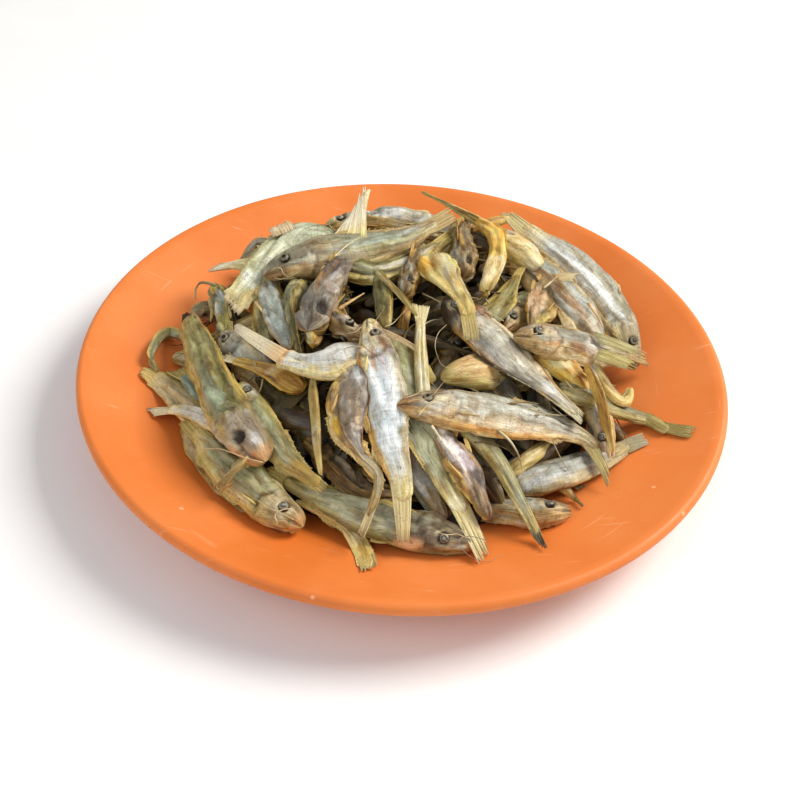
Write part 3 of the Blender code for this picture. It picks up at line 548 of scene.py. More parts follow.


# %% [markdown]
# Each fish, head, tail and scrap was placed over the photograph, in millimetres from the middle
# of the plate.

# %% The fish
FISH = {
    "front_silver": (
        "whole", 0, 9, 15, 78, ((-14.5, -15.5), (-8.3, -43), (-4, -66), (1.6, -80), (3.4, -96.5)), "silver"
    ),
    "front_level": (
        "whole", 0, 10, 16, 74, ((-2, -54, -1), (36, -52, -3), (71, -48.5, -3), (79.5, -59.5, -1)), "grey"
    ),
    "middle_diagonal": (
        "whole", 0, 11, 17, -75, ((14, 0, -4), (26, -12, -3), (44.5, -27.5, -3), (69, -42, -1)), "dark"
    ),
    "middle_yellow": ("leaf", 0, 8, 17, 80, ((9, 28, 1), (14, 14, 2), (22, -3, 3), (25, -23, 2)), "straw"),
    "left_olive": (
        "whole", 0, 13, 17, -48, ((-47, -70, 2), (-65, -48, 1), (-78.5, -20), (-93, 17)), "olive"
    ),
    "left_small_tail": ("tail", 1, 5, 8, 80, ((-62, -58, 2), (-80, -43, 5), (-98, -32, 6)), "cream"),
    "left_outer_tail": ("tail", 1, 6, 12, 80, ((-70, -56), (-90, -30, 2), (-106, -5, 5)), "straw"),
    "left_hook": (
        "strip", 1, 4, 6, 0, ((-100, -12, 3), (-104, 1, 6), (-101, 12, 6), (-88, -2, 1)), "pale_olive"
    ),
    "left_blue_fin": ("tail", 2, 5, 11, 80, ((-66, -56), (-82, -30, 3), (-93, -16, 4)), "pale_olive"),
    "bottom_left": (
        "whole", 0, 11, 17, -68, ((-32, -91), (-46, -82.5), (-65, -65), (-82, -44, -3)), "pale_olive"
    ),
    "bottom_under": ("strip", 2, 4, 10, 80, ((-52, -84, 4), (-70, -66, 4), (-84, -46, 4)), "straw"),
    "left_straw": ("strip", 0, 3, 6, 80, ((-54, -66, -1), (-62, -74, 3)), "straw"),
    "front_long": (
        "whole", 1, 11, 16, 100, ((28.5, -94, 5), (2, -92, 3), (-20, -86.5, 2), (-34, -81, 1), (-49, -72)),
        "pale_olive"
    ),
    "left_middle": (
        "whole", 1, 8, 11, 60, ((-61.5, -38, 4), (-53, -54, 5), (-41, -69.5, 6), (-25, -82, 7)),
        "pale_olive"
    ),
    "white_curved": (
        "tail", 0, 8, 13, -80, ((-14, -31, -4), (-30, -37, 1), (-46, -31, 2), (-67, -8, 3)), "white"
    ),
    "golden_end": ("tail", 1, 8, 10, 80, ((-37, -46, 3), (-52, -35, 3), (-71, -23, 6)), "golden"),
    "brown_curved": (
        "whole", 0, 9, 13, 78, ((-17.5, -36, -3), (-19.3, -50, -1), (-18.9, -63), (-13.5, -71.5),
        (-6.5, -79), (-9.6, -91, 1), (-11.3, -95.5, 2)), "purple"
    ),
    "straw_upright": ("strip", 1, 5, 7, 0, ((-34, -38, 3), (-31, -56, 4), (-27, -77, 6)), "straw"),
    "short_tail": (
        "whole", 1, 6, 10, 80, ((-36, -84, 1), (-25, -88.5, 2), (-15, -94, 4), (-7, -102, 5)), "straw"
    ),
    "centre_upright": ("tail", 1, 6, 6, 85, ((8, -54, 2), (6, -32, 4), (5, -5, 5)), "cream"),
    "centre_spike": ("strip", 0, 3, 3, 0, ((-13, 14, 3), (-5, 2, 3), (4, -12, 0)), "straw"),
    "front_olive": ("whole", 1, 9, 14, -78, ((-6, -22), (5, -48, 1), (17, -76, 3), (33, -96, 6)), "olive"),
    "front_purple": (
        "whole", 1, 9, 11, -70, ((33, -86, 5), (27, -77, 4), (17, -66, 2), (2, -44, -4)), "purple"
    ),
    "front_white_under": (
        "whole", 2, 8, 10, 80, ((18, -90, 6), (7, -77, 5), (-2, -60), (-8, -30)), "white"
    ),
    "front_thin": (
        "tail", 1, 6, 9, 80, ((14, -50, -3), (34, -66, 2), (44, -78, 6), (53, -88, 9)), "pale_olive"
    ),
    "front_thin_under": ("whole", 2, 7, 10, 70, ((39, -82, 3), (32, -74, 3), (20, -60), (4, -44)), "brown"),
    "right_ribbed": (
        "tail", 1, 9, 14, 80, ((43, -75, -1), (62, -64), (79, -51, 1), (97, -31, 4)), "silver"
    ),
    "right_low_head": (
        "whole", 2, 9, 13, -80, ((64, -75, 5), (48, -81, 5), (20, -84, -2), (-8, -78, -4)), "grey"
    ),
    "right_dark_fin": ("spike", 2, 3, 7, 80, ((57, -65, 5), (63, -69, 7), (69, -71.5, 8)), "brown"),
    "right_tail": (
        "tail", 1, 7, 12, 80, ((60, -32), (87, -27, 5), (101, -21, 6), (114, -21, 8)), "pale_olive"
    ),
    "brown_right": ("whole", 2, 8, 10, 60, ((88, -39, 6), (76, -36, 5), (52, -30), (28, -24)), "brown"),
    "golden_strip": ("strip", 0, 4, 6, 0, ((70, -16, 3), (75.5, -29, 2), (80, -48, 2)), "golden"),
    "right_head": ("whole", 0, 10, 14, 62, ((41, -15, 1), (56, -11, 2), (76, -4, 1), (102, 15, 3)), "grey"),
    "gold_piece": ("tail", 1, 8, 12, 60, ((52, -16, 1), (63, -22, 4), (78, -30, 2)), "golden"),
    "curled_skin": ("strip", 0, 4, 9, 70, ((74, -10), (79, -20), (87, -22), (92, -12)), "straw"),
    "right_big": (
        "whole", "set", 12, 17, -66, ((96, 5, 20), (88.5, 23, 29), (69, 41, 43), (49, 56, 51),
        (39, 62, 57)), "white"
    ),
    "right_under": ("whole", 1, 10, 18, -60, ((80, 4, 1), (68, 14, 4), (54, 27, 4), (34, 48)), "grey"),
    "right_brown_stripe": (
        "whole", 1, 8, 10, 60, ((88, 10, 1), (74, 16, 4), (58, 28, 4), (38, 52)), "brown"
    ),
    "golden_twist": (
        "strip", 0, 7, 9, 20, ((27.5, 61, 2), (35.5, 46, 3), (35.5, 28, 3), (31.5, 8, 2)), "butter"
    ),
    "spiny_head": ("whole", 1, 8, 10, 55, ((48, -6, 6), (53, 8, 6), (58, 24, 4), (62, 48, -3)), "brown"),
    "low_small_head": ("whole", 2, 8, 11, 50, ((38, -12, 7), (46, 2, 6), (54, 16), (62, 40)), "brown"),
    "pale_big": (
        "whole", 0, 11, 16, -62, ((-31, 39, -3), (-48, 36, -2), (-60, 21, 1), (-71, 4, 3)), "green"
    ),
    "crest_long": (
        "whole", "set", 11, 16, 50, ((-59, 15, 49), (-42, 20, 54), (-6, 33, 57), (18, 55, 59)), "grey"
    ),
    "crest_lower": (
        "tail", 1, 8, 11, 70, ((-31, 18, 4), (-12, 15, 5), (4, 28, 5), (17, 47, 6)), "pale_olive"
    ),
    "straw_behind": ("tail", 1, 4, 8, 60, ((2, 12, 1), (12, 32, 4), (21, 62, 6)), "straw"),
    "skull_down": (
        "whole", 0, 13, 15, 30, ((-37, -20, 1), (-33, -3, 3), (-28, 16, 1), (-20, 44, -6)), "purple"
    ),
    "ring_head": (
        "whole", 1, 8, 11, 0, ((-43, 12, 3), (-45, -4, 4), (-42, -22, 3), (-36, -44, -4)), "pale_olive"
    ),
    "tan_end": ("tail", 1, 8, 10, 0, ((-35, -26, 6), (-36, -14, 4), (-40, 10)), "golden"),
    "small_head": ("whole", 1, 9, 11, 60, ((-16.5, -25, 6), (-26, -16, 6), (-36, -3), (-43, 18)), "brown"),
    "blue_upright": ("whole", 1, 7, 12, 80, ((-44, -27, 4), (-51, -8, 4), (-57, 14, 4), (-58, 40)), "grey"),
    "olive_upright": ("tail", 1, 5, 9, -80, ((-54, -22, 1), (-58, -4, 4), (-62, 14, 4)), "olive"),
    "left_crumple": (
        "whole", 1, 9, 11, 30, ((-81, 24, 4), (-76, 9, 5), (-72, -10, 3), (-64, -36, -4)), "pale_olive"
    ),
    "left_ring_eye": (
        "whole", 2, 9, 14, 60, ((-73.5, -9, 6), (-63, -25, 7), (-53, -40, 3), (-42, -62, -3)), "grey"
    ),
    "straw_left_back": ("tail", "set", 5, 8, 80, ((-52, 30, 38), (-67, 34, 41), (-85, 44, 31)), "cream"),
    "arched_back": ("strip", "set", 4, 6, 0, ((-74, 42, 34), (-66, 47, 43), (-56, 42, 46)), "grey"),
    "crest_head": (
        "whole", "set", 10, 12, 60, ((-38, 54, 48), (-28, 55, 50), (-6, 55, 50), (26, 52, 44)), "brown"
    ),
    "crest_fin": ("spike", "set", 3, 9, 80, ((-26, 38, 52), (-23, 45, 61), (-19, 54, 69.5)), "cream"),
    "crest_silver": (
        "whole", "set", 10, 14, 70, ((-26, 57, 50), (-8, 59, 50), (14, 58, 48), (46, 48, 40)), "silver"
    ),
    "crest_spike": ("spike", "set", 4, 5, 0, ((38, 54, 51), (24, 60, 55), (3, 62, 64)), "straw"),
    "crest_straw": ("strip", "set", 4, 5, 0, ((26, 52, 52), (34, 56, 54), (42, 60, 54)), "golden"),
    "crest_grey_curl": (
        "whole", 1, 8, 10, 30, ((36, 56, 4), (42, 46, 4), (52, 38, 1), (70, 30, -3)), "grey"
    ),
    "crumpled_head": (
        "whole", 0, 11, 13, 20, ((21, 14, -3), (21, 32, 1), (22, 52, 1), (30, 72, -8)), "brown"
    ),
    "socket_head": ("whole", 1, 9, 12, 20, ((-2, 0, 3), (0, 14, 5), (4, 32, 3), (4, 60, -3)), "brown"),
    "golden_blob": ("tail", 2, 6, 8, 0, ((-2, -22, 3), (-1, -12, 5), (2, 8)), "golden"),
    "olive_bar": ("strip", 1, 6, 8, 20, ((-13, 14, 4), (-10, -2, 4), (-7, -20, 4)), "olive"),
    "olive_striped": ("tail", 0, 5, 10, -70, ((31, -10, -5), (40, 12, -4), (47, 31, -3)), "pale_olive"),
    "tan_wedge": ("whole", 2, 10, 15, 60, ((14, -41, 7), (26, -36, 8), (48, -30), (80, -18)), "straw"),
    "pale_short": ("strip", 1, 8, 12, 60, ((36.5, 48, 5), (45, 42, 6), (54, 32, 5)), "cream"),
    "ragged_strip": ("strip", 2, 3, 6, 60, ((38, -74, 4), (48, -64, 7), (58, -54, 4)), "straw"),
    "deep_curled": (
        "whole", 2, 8, 11, 80, ((-35, -65, 5), (-22, -75, 6), (-10, -83, 6), (14, -84)), "brown"
    ),
    "deep_left": (
        "whole", 2, 8, 12, 70, ((-54, -46, 1), (-38, -56, 2), (-24, -66, 2), (4, -76)), "pale_olive"
    ),
    "deep_right": ("whole", 2, 8, 12, -70, ((28, -52), (42, -60), (56, -64, 1), (70, -66, 1)), "grey"),
    "deep_centre": ("whole", 2, 8, 11, 80, ((22, -18, 1), (15, -36, 2), (8, -54), (-4, -76)), "brown"),
    "deep_left_back": ("whole", 2, 8, 12, 70, ((-50, 12), (-58, 20), (-66, 26), (-78, 22)), "grey"),
    "deep_crest": (
        "plain", "set", 9, 12, 60, ((16, 54, 45), (28, 51, 48), (38, 47, 47), (50, 42, 44)), "brown"
    ),
    "deep_foot": (
        "plain", "set", 9, 11, 80, ((77, -24, 17), (80, -10, 18), (80, 6, 18), (74, 22, 20)), "pale_olive"
    ),
}
print(len(FISH), "fish and scraps that the photograph shows")

# %% [markdown]
# The far slope and the two ends hold more fish, spread evenly round the heap with a little chance.
# The draws come in the solid's own order, so the same fish lie in the same places.

# %% Fish on the far slope
FILL_SEED = 11
# How many fish lie at the back and round the ends, and the arc and the ring of their middles
FILLS = {
    "back": (13, (math.radians(32.0), math.radians(148.0)), (70.0, 84.0)),
    "side": (6, (math.radians(-20.0), math.radians(200.0)), (62.0, 74.0)),
}
FILL_REACH = 96.0
FILL_TOP = 47.0
FILL_START = 58.0
FILL_FALL = 0.9
FILL_STEP = 6.0
FILL_SWING = (-0.5, 0.5)
FILL_LENGTH = (62.0, 80.0)
FILL_BEND = (-6.0, 6.0)
FILL_WIDTH = (7.0, 9.5)
FILL_DEPTH = (10.0, 14.0)
FILL_TURNS = (-80.0, -60.0, 60.0, 80.0, 20.0)
FILL_COLOURINGS = ("grey", "pale_olive", "silver", "olive", "brown", "straw", "purple", "white")


def in_turn(draw, number, count, low, high):
    """A value from one of equal steps between two others, with a little chance."""
    return low + (high - low) * (number + draw.uniform(0.2, 0.8)) / count


def bent_points(x, y, heading, half, bend, reach, height):
    """Four places on a gently bent line, drawn in to the reach, each with its height there."""
    points = []
    for share in (-1.0, -0.3, 0.4, 1.0):
        side = bend * (1.0 - share * share)
        px = x + share * half * math.cos(heading) - side * math.sin(heading)
        py = y + share * half * math.sin(heading) + side * math.cos(heading)
        inward = min(1.0, reach / math.hypot(px, py))
        points.append((px * inward, py * inward, float(height(px * inward, py * inward))))
    return tuple(points)


def placed_fill(draw, number, count, arc, ring):
    """One filler fish in its share of an arc, every third one lying across the slope."""

    def height(px, py):
        """A straight slope, a step lower for every other fish."""
        return FILL_TOP - FILL_FALL * max(math.hypot(px, py) - FILL_START, 0.0) - FILL_STEP * (number % 2)

    angle, radius = in_turn(draw, number, count, *arc), draw.uniform(*ring)
    heading = angle + draw.uniform(*FILL_SWING) + (math.pi / 2 if number % 3 == 0 else 0.0)
    heading += draw.choice((0.0, math.pi))
    half, bend = draw.uniform(*FILL_LENGTH) / 2, draw.uniform(*FILL_BEND)
    x, y = radius * math.cos(angle), radius * math.sin(angle)
    points = bent_points(x, y, heading, half, bend, FILL_REACH, height)
    turn, width, depth = draw.choice(FILL_TURNS), draw.uniform(*FILL_WIDTH), draw.uniform(*FILL_DEPTH)
    return ("plain", "set", width, depth, turn, points, FILL_COLOURINGS[number % len(FILL_COLOURINGS)])


draw = random.Random(FILL_SEED)
ROWS = dict(FISH)
for label, (count, arc, ring) in FILLS.items():
    ROWS.update({f"{label}_{number}": placed_fill(draw, number, count, arc, ring) for number in range(count)})
print(len(ROWS), "fish in all")

# %% [markdown]
# A fish's middle line is a smooth curve through its places. At each station along it, three
# directions are kept: along the fish, towards its back, and out of its flank.

# %% Lay a fish on the skin
def sample(wanted, stations, rows):
    """Rows of numbers at stations, read off at the wanted ones."""
    return np.stack([np.interp(wanted, stations, column) for column in rows.T], axis=-1)


def through(points, count):
    """Places at even steps along a smooth curve through the given ones."""
    rows = np.array([tuple(point) + (0.0,) * (3 - len(point)) for point in points], float)
    padded = np.vstack([2 * rows[0] - rows[1], rows, 2 * rows[-1] - rows[-2]])
    fine = []
    for before, start, end, after in zip(padded, padded[1:], padded[2:], padded[3:]):
        for t in np.linspace(0.0, 1.0, SPAN_STEPS, endpoint=False):
            first = (end - before) * t
            second = (2 * before - 5 * start + 4 * end - after) * t**2
            third = (3 * start - before - 3 * end + after) * t**3
            fine.append(0.5 * (2 * start + first + second + third))
    fine = np.array(fine + [rows[-1]])
    run = np.concatenate([[0.0], np.cumsum(np.linalg.norm(np.diff(fine, axis=0), axis=1))])
    return sample(np.linspace(0.0, run[-1], count), run, fine)


def unit(rows):
    """Directions made one long."""
    return rows / np.linalg.norm(rows, axis=-1, keepdims=True)


class Lie:
    """How one fish lies: its middle line, its directions and its half sizes at any station."""

    def __init__(self, name, form, layer, width, depth, turn, points):
        stations, widths, depths, self.trunk_end = FORMS[form]
        self.trunk_end = TAIL_BEGINS.get(name, self.trunk_end)
        x, y, rise = through(points, CURVE_STATIONS).T
        self.share = np.linspace(0.0, 1.0, CURVE_STATIONS)
        self.wide = np.maximum(np.interp(self.share, stations, widths) * width, LEAST_THICKNESS) / 2
        self.deep = np.maximum(np.interp(self.share, stations, depths) * depth, LEAST_THICKNESS) / 2
        angle = math.radians(turn)
        half_height = np.hypot(self.deep * math.cos(angle), self.wide * math.sin(angle))
        if layer == "set":
            z = np.maximum(rise, plate_top(x, y) + half_height + CLEARANCE)
        else:
            surface = skin(x, y)
            z = surface - LAYER_DEPTHS[layer] + rise
            straight = np.polyval(np.polyfit(self.share, z, 1), self.share)
            z = z + STIFFNESS * (straight - z)
            start = y
            for _ in range(SLIDE_ROUNDS):
                y = start + (surface - z) / math.tan(SIGHT_ANGLE)
                z = np.maximum(z, plate_top(x, y) + half_height + CLEARANCE)
        if name in SHAPES:
            at, wider, deeper = SHAPES[name]
            self.wide = self.wide * np.interp(self.share, at, wider)
            self.deep = self.deep * np.interp(self.share, at, deeper)
        self.line = np.stack([x, y, z], axis=1)
        self.along = unit(np.gradient(self.line, axis=0))
        left = unit(np.cross([0.0, 0.0, 1.0], self.along))
        up = np.cross(self.along, left)
        self.back = up * math.cos(angle) + left * math.sin(angle)
        self.flank = left * math.cos(angle) - up * math.sin(angle)
        self.length = float(np.linalg.norm(np.diff(self.line, axis=0), axis=1).sum())

    def at(self, name, s):
        """A value of the fish at the stations s: line, along, back, flank, wide or deep."""
        values = getattr(self, name)
        return np.interp(s, self.share, values) if values.ndim == 1 else sample(s, self.share, values)

    def off_line(self, s, across, upward):
        """Points beside the middle line, so far across the fish and so far towards its back."""
        places = self.at("line", s) + self.at("flank", s) * across[..., None]
        return places + self.at("back", s) * upward[..., None]

    def on_skin(self, s, theta, out=1.0):
        """Points on the fish at stations s and angles theta from its back, out times its half sizes."""
        s, theta = np.broadcast_arrays(np.asarray(s, float), np.asarray(theta, float))
        across, upward = self.at("wide", s) * np.sin(theta), self.at("deep", s) * np.cos(theta)
        return self.off_line(s, across * out, upward * out)


LIES = {name: Lie(name, *row[:6]) for name, row in ROWS.items()}
lengths = [LIES[name].length for name in FISH if FISH[name][0] == "whole"]
print("whole fish are", round(min(lengths)), "to", round(max(lengths)), "mm long")

# %% [markdown]
# ## One trunk, shaped many times
#
# Every fish starts from the same closed tube of rings. A cone with equal ends is a cylinder, its long
# edges are subdivided into rings, and its two end faces are poked so that they close in a point. The
# rings stand closer at the head, where the eye and the gill cover need them. Each fish is a copy of
# this tube whose points are moved, so a whole group of fish is one mesh.

# %% Make the tube
TRUNK_FACES = (44, 56)
DEEP_TRUNK_FACES = (18, 26)
STRAND_FACES = (4, 18)
# Above 1, rings stand closer at the start
TRUNK_CROWDING = 1.3
DEEP_TRUNK_CROWDING = 1.2


def read(items, key, width):
    """A property of every point or corner of a mesh, as rows of numbers."""
    values = np.zeros(len(items) * width)
    items.foreach_get(key, values)
    return values.reshape(-1, width)


def template(bm):
    """A mesh to copy, with its points and its grain map as rows of numbers."""
    mesh = as_mesh(bm)
    mesh.color_attributes.new("paint", "FLOAT_COLOR", "POINT")
    return mesh, read(mesh.vertices, "co", 3), read(mesh.uv_layers["grain"].data, "uv", 2)


def tube(sides, rings, crowding=1.0):
    """A closed unit tube along X: its mesh, with where each point stands along, round and out."""
    bm = bmesh.new()
    bmesh.ops.create_cone(bm, cap_ends=True, segments=sides, radius1=1.0, radius2=1.0, depth=1.0)
    bmesh.ops.rotate(bm, verts=bm.verts, matrix=Matrix.Rotation(math.pi / 2, 3, "Y"))
    long_edges = [edge for edge in bm.edges if abs(edge.verts[0].co.x - edge.verts[1].co.x) > 0.5]
    bmesh.ops.subdivide_edges(bm, edges=long_edges, cuts=rings - 2)
    bmesh.ops.poke(bm, faces=[face for face in bm.faces if len(face.verts) > 4])
    bmesh.ops.recalc_face_normals(bm, faces=bm.faces)
    layer = bm.loops.layers.uv.new("grain")
    for face in bm.faces:
        # A face at the seam keeps its corners on one side of it, and a pole has the angle of its face
        middle = face.calc_center_median()
        middle_turn = math.atan2(middle.y, middle.z)
        for loop in face.loops:
            place = loop.vert.co
            turn = math.atan2(place.y, place.z) if math.hypot(place.y, place.z) > 0.5 else middle_turn
            while turn - middle_turn > math.pi:
                turn -= 2 * math.pi
            while turn - middle_turn < -math.pi:
                turn += 2 * math.pi
            loop[layer].uv = (place.x + 0.5, turn)
    mesh, places, uv = template(bm)
    uv[:, 0] = np.clip(uv[:, 0], 0.0, 1.0) ** crowding
    along = np.clip(places[:, 0] + 0.5, 0.0, 1.0) ** crowding
    turn = np.arctan2(places[:, 1], places[:, 2])
    out = np.minimum(np.hypot(places[:, 1], places[:, 2]), 1.0)
    return {"mesh": mesh, "along": along, "turn": turn, "out": out, "uv": uv}


TRUNK = tube(*TRUNK_FACES, TRUNK_CROWDING)
print("a trunk has", len(TRUNK["along"]), "points")

# %% [markdown]
# Smooth random fields are used for wrinkles and for blotches. Random values sit on a lattice, and
# the field blends between them, so one unit of distance holds about one swell.

# %% A smooth random field
LATTICE_SIZE = 32
LATTICE = np.random.default_rng(5).uniform(-1.0, 1.0, (LATTICE_SIZE,) * 3)


def field(x, y, z):
    """A smooth random value from -1 to 1 at places given in swells."""
    spots = np.stack(np.broadcast_arrays(x, y, z), axis=-1).astype(float)
    low = np.floor(spots).astype(int)
    share = smooth(0.0, 1.0, spots - low)
    total = np.zeros(spots.shape[:-1])
    for corner in itertools.product((0, 1), repeat=3):
        weight = np.prod(np.where(corner, share, 1.0 - share), axis=-1)
        index = (low + corner) % LATTICE_SIZE
        total += weight * LATTICE[index[..., 0], index[..., 1], index[..., 2]]
    return total


print("the field at one place:", round(float(field(0.5, 0.5, 0.5)), 3))

# %% [markdown]
# ## The trunk of a dried fish
#
# Drying pulls the skin in. It wrinkles lengthwise, sinks along the flank and under the belly, and
# leaves the hard parts standing: the skull, the ring round the eye, the gill cover and the back's
# edge. So the outline comes from the form's half sizes, and these features are added to it as small
# moves in or out, each of a real size in millimetres.

# %% Helpers for shape and colour
def mix(first, second, share):
    """One colour blended into another by a share for each point."""
    share = np.asarray(share)[..., None]
    return np.asarray(first) * (1.0 - share) + np.asarray(second) * share


def covered(paint, layers):
    """Paint under layers, each a colour and the share of it that each point gets."""
    for colour, share in layers:
        paint = mix(paint, colour, share)
    return paint


def tone(code):
    """A colour's linear values as an array."""
    return np.array(linear(code))


def bump(value, middle, width):
    """1 at the middle value, falling to nothing within a few widths of it."""
    return np.exp(-(((value - middle) / width) ** 2))


def creases(x, y, z):
    """A field of sharp valleys: 1 along a valley and 0 on the broad swells between."""
    return np.clip(1.0 - 3.4 * np.abs(field(x, y, z)), 0.0, 1.0) ** 1.4


def shown_side(lie):
    """Which flank faces the viewer: 1 for the flank direction's own side, -1 for the other."""
    return 1.0 if float(lie.flank[len(lie.flank) // 2] @ SIGHT) > 0 else -1.0


print("a bump one width off its middle:", round(float(bump(1.0, 0.0, 1.0)), 2))

# %% Wrinkle the skin
BODIES = ("whole", "plain")
SCRAPS = ("strip", "spike")
# Heads and scraps that dried into hard folds
CRUMPLED = (
    "skull_down crumpled_head socket_head spiny_head left_crumple crest_lower crest_silver brown_curved "
    "deep_curled ring_head small_head brown_right front_purple"
).split()


def wrinkles(name, form, s, theta, run, arc, body, seed, chance):
    """How far drying moves the skin, in millimetres, and how much painted shade darkens its creases."""
    sin, side, crumpled = np.sin(theta), np.abs(theta), name in CRUMPLED
    # Shrinking leaves slow swells, long creases that meet towards the tail, sharp ridges and one deep fold
    slow = field(run / 15.0, sin * 1.2, seed + np.cos(theta) * 1.2)
    crease = creases(run / 20.0, theta * 1.25 + 0.5 * np.sin(run / 21.0), seed)
    small = creases(run / 10.0, theta * 2.4, seed + 5.3)
    ridge = creases(run / 26.0, theta * 1.6 + 0.4 * np.sin(run / 17.0), seed + 14.6)
    fold_line = 1.0 + 0.9 * chance[1] + 0.45 * field(run / 24.0, 0.5, seed + 9.1)
    fold = bump(side, fold_line, 0.15) - 0.6 * bump(side, fold_line + 0.34, 0.2)
    wrinkled = 1.4 if crumpled else 0.45 + 0.85 * chance[2]
    move = 0.9 * slow - wrinkled * (0.75 * crease + 0.35 * small) + 0.5 * ridge + 0.15
    move -= (0.5 + 0.9 * chance[3]) * fold * body * smooth(0.85, 0.6, s)
    knots = creases(run / 4.6, arc / 3.4, seed + 7.7) if crumpled else np.zeros_like(s)
    move -= 0.9 * knots - 0.5 * crumpled * field(run / 5.5, arc / 4.0, seed + 3.3)
    if form in BODIES:
        # The flank sinks on both sides of the backbone, and the empty belly sinks most
        sunk = bump(side, 0.85, 0.3) + bump(side, 2.2, 0.35)
        move -= (0.3 + 0.6 * chance[4]) * sunk * body * smooth(0.9, 0.6, s)
        move -= 1.2 * chance[1] * bump(side, 2.6, 0.4) * body * smooth(0.7, 0.45, s)
    # The creases and knots get painted shade
    return move, np.clip(crease + 0.4 * small + knots, 0.0, 1.0) * wrinkled / 1.3


print(len(CRUMPLED), "crumpled heads and scraps")

# %% [markdown]
# A head keeps its hard parts: a ring round each sunk eye, the plate of the gill cover, the slit of the
# mouth and the skull between the eyes.

# %% Shape a head
EYE_STATION = 0.12
EYE_TURN = 60.0
# Where a skull has shrunk so that its eye stands lower on the cheek, in degrees from the back
EYE_TURNS = {
    "left_olive": 95.0, "left_ring_eye": 95.0, "front_level": 74.0, "front_silver": 72.0,
    "bottom_left": 72.0, "right_head": 70.0,
}
EYE_RADIUS = 2.0
EYE_RING = 2.7
GILL_STATION = 0.225
MOUTH_TURN = math.radians(112.0)
HOLLOW_EYES = "left_olive skull_down crumpled_head socket_head".split()
# Trunks whose head is hidden or lost
HEADLESS = (
    "brown_curved short_tail front_olive front_purple front_white_under front_thin_under pale_big "
    "crest_silver right_brown_stripe pale_short tan_wedge right_under spiny_head left_crumple "
    "blue_upright ring_head brown_right"
).split()


def eye_turn(name):
    """The angle of a fish's eyes from its back."""
    return math.radians(EYE_TURNS.get(name, EYE_TURN))


def head_shape(name, lie, s, side, girth, seed):
    """How far the skin of a head moves out, in millimetres, with shares of its eyes, edges and mouth."""
    hollow = name in HOLLOW_EYES
    from_eye = np.hypot((s - EYE_STATION) * lie.length, (side - eye_turn(name)) * girth)
    from_eye = from_eye * (1.0 + 0.2 * field(s * lie.length / 2.0, side * 3.0, seed + 17.0))
    pit = bump(from_eye, 0.0, 2.9 if hollow else 1.9)
    ring = bump(from_eye, EYE_RING + (0.6 if hollow else 0.0), 0.75)
    move = 0.45 * ring - (2.4 if hollow else 1.5) * pit
    # The gill cover is a plate on each side with a round rear edge, which stands above the skin behind
    edge = (GILL_STATION - 0.03 + 0.045 * bump(side, 1.7, 0.75) - s) * lie.length
    on_side = smooth(0.6, 1.1, side) * smooth(2.9, 2.4, side)
    move += np.where(edge > 0, 0.55 * bump(edge, 0.0, 2.6), -0.7 * bump(edge, 0.0, 1.6)) * on_side
    gap = bump(edge, -0.8, 0.7) * on_side
    # The mouth is a slit below the snout, and the cheek behind it is folded
    slit = bump((side - MOUTH_TURN) * girth, 0.0, 0.45) * smooth(0.1, 0.06, s)
    skull = smooth(GILL_STATION, 0.17, s) * smooth(0.01, 0.05, s)
    cheek = creases(s * lie.length / 5.0, side * 1.9, seed + 11.9) * skull
    move -= 1.0 * slit + 0.6 * cheek * smooth(0.9, 1.4, side)
    move += 0.45 * skull * (bump(side, 0.55, 0.2) - bump(side, 0.0, 0.22))
    return move, pit, ring, gap, slit, cheek


print(len(HEADLESS), "trunks without a head, and", len(HOLLOW_EYES), "heads with hollow eyes")

# %% [markdown]
# A trunk is painted in layers, each a colour and the share of it that every point gets: the broad
# colours from back to belly, then the head, then the marks of single fish, then eyes and mouth, with
# painted shade in the eye pits, the gill gaps, the mouth slit and the cheek creases.

# %% Shape and paint a trunk
# A scrap is flat
FLATNESS = 0.62


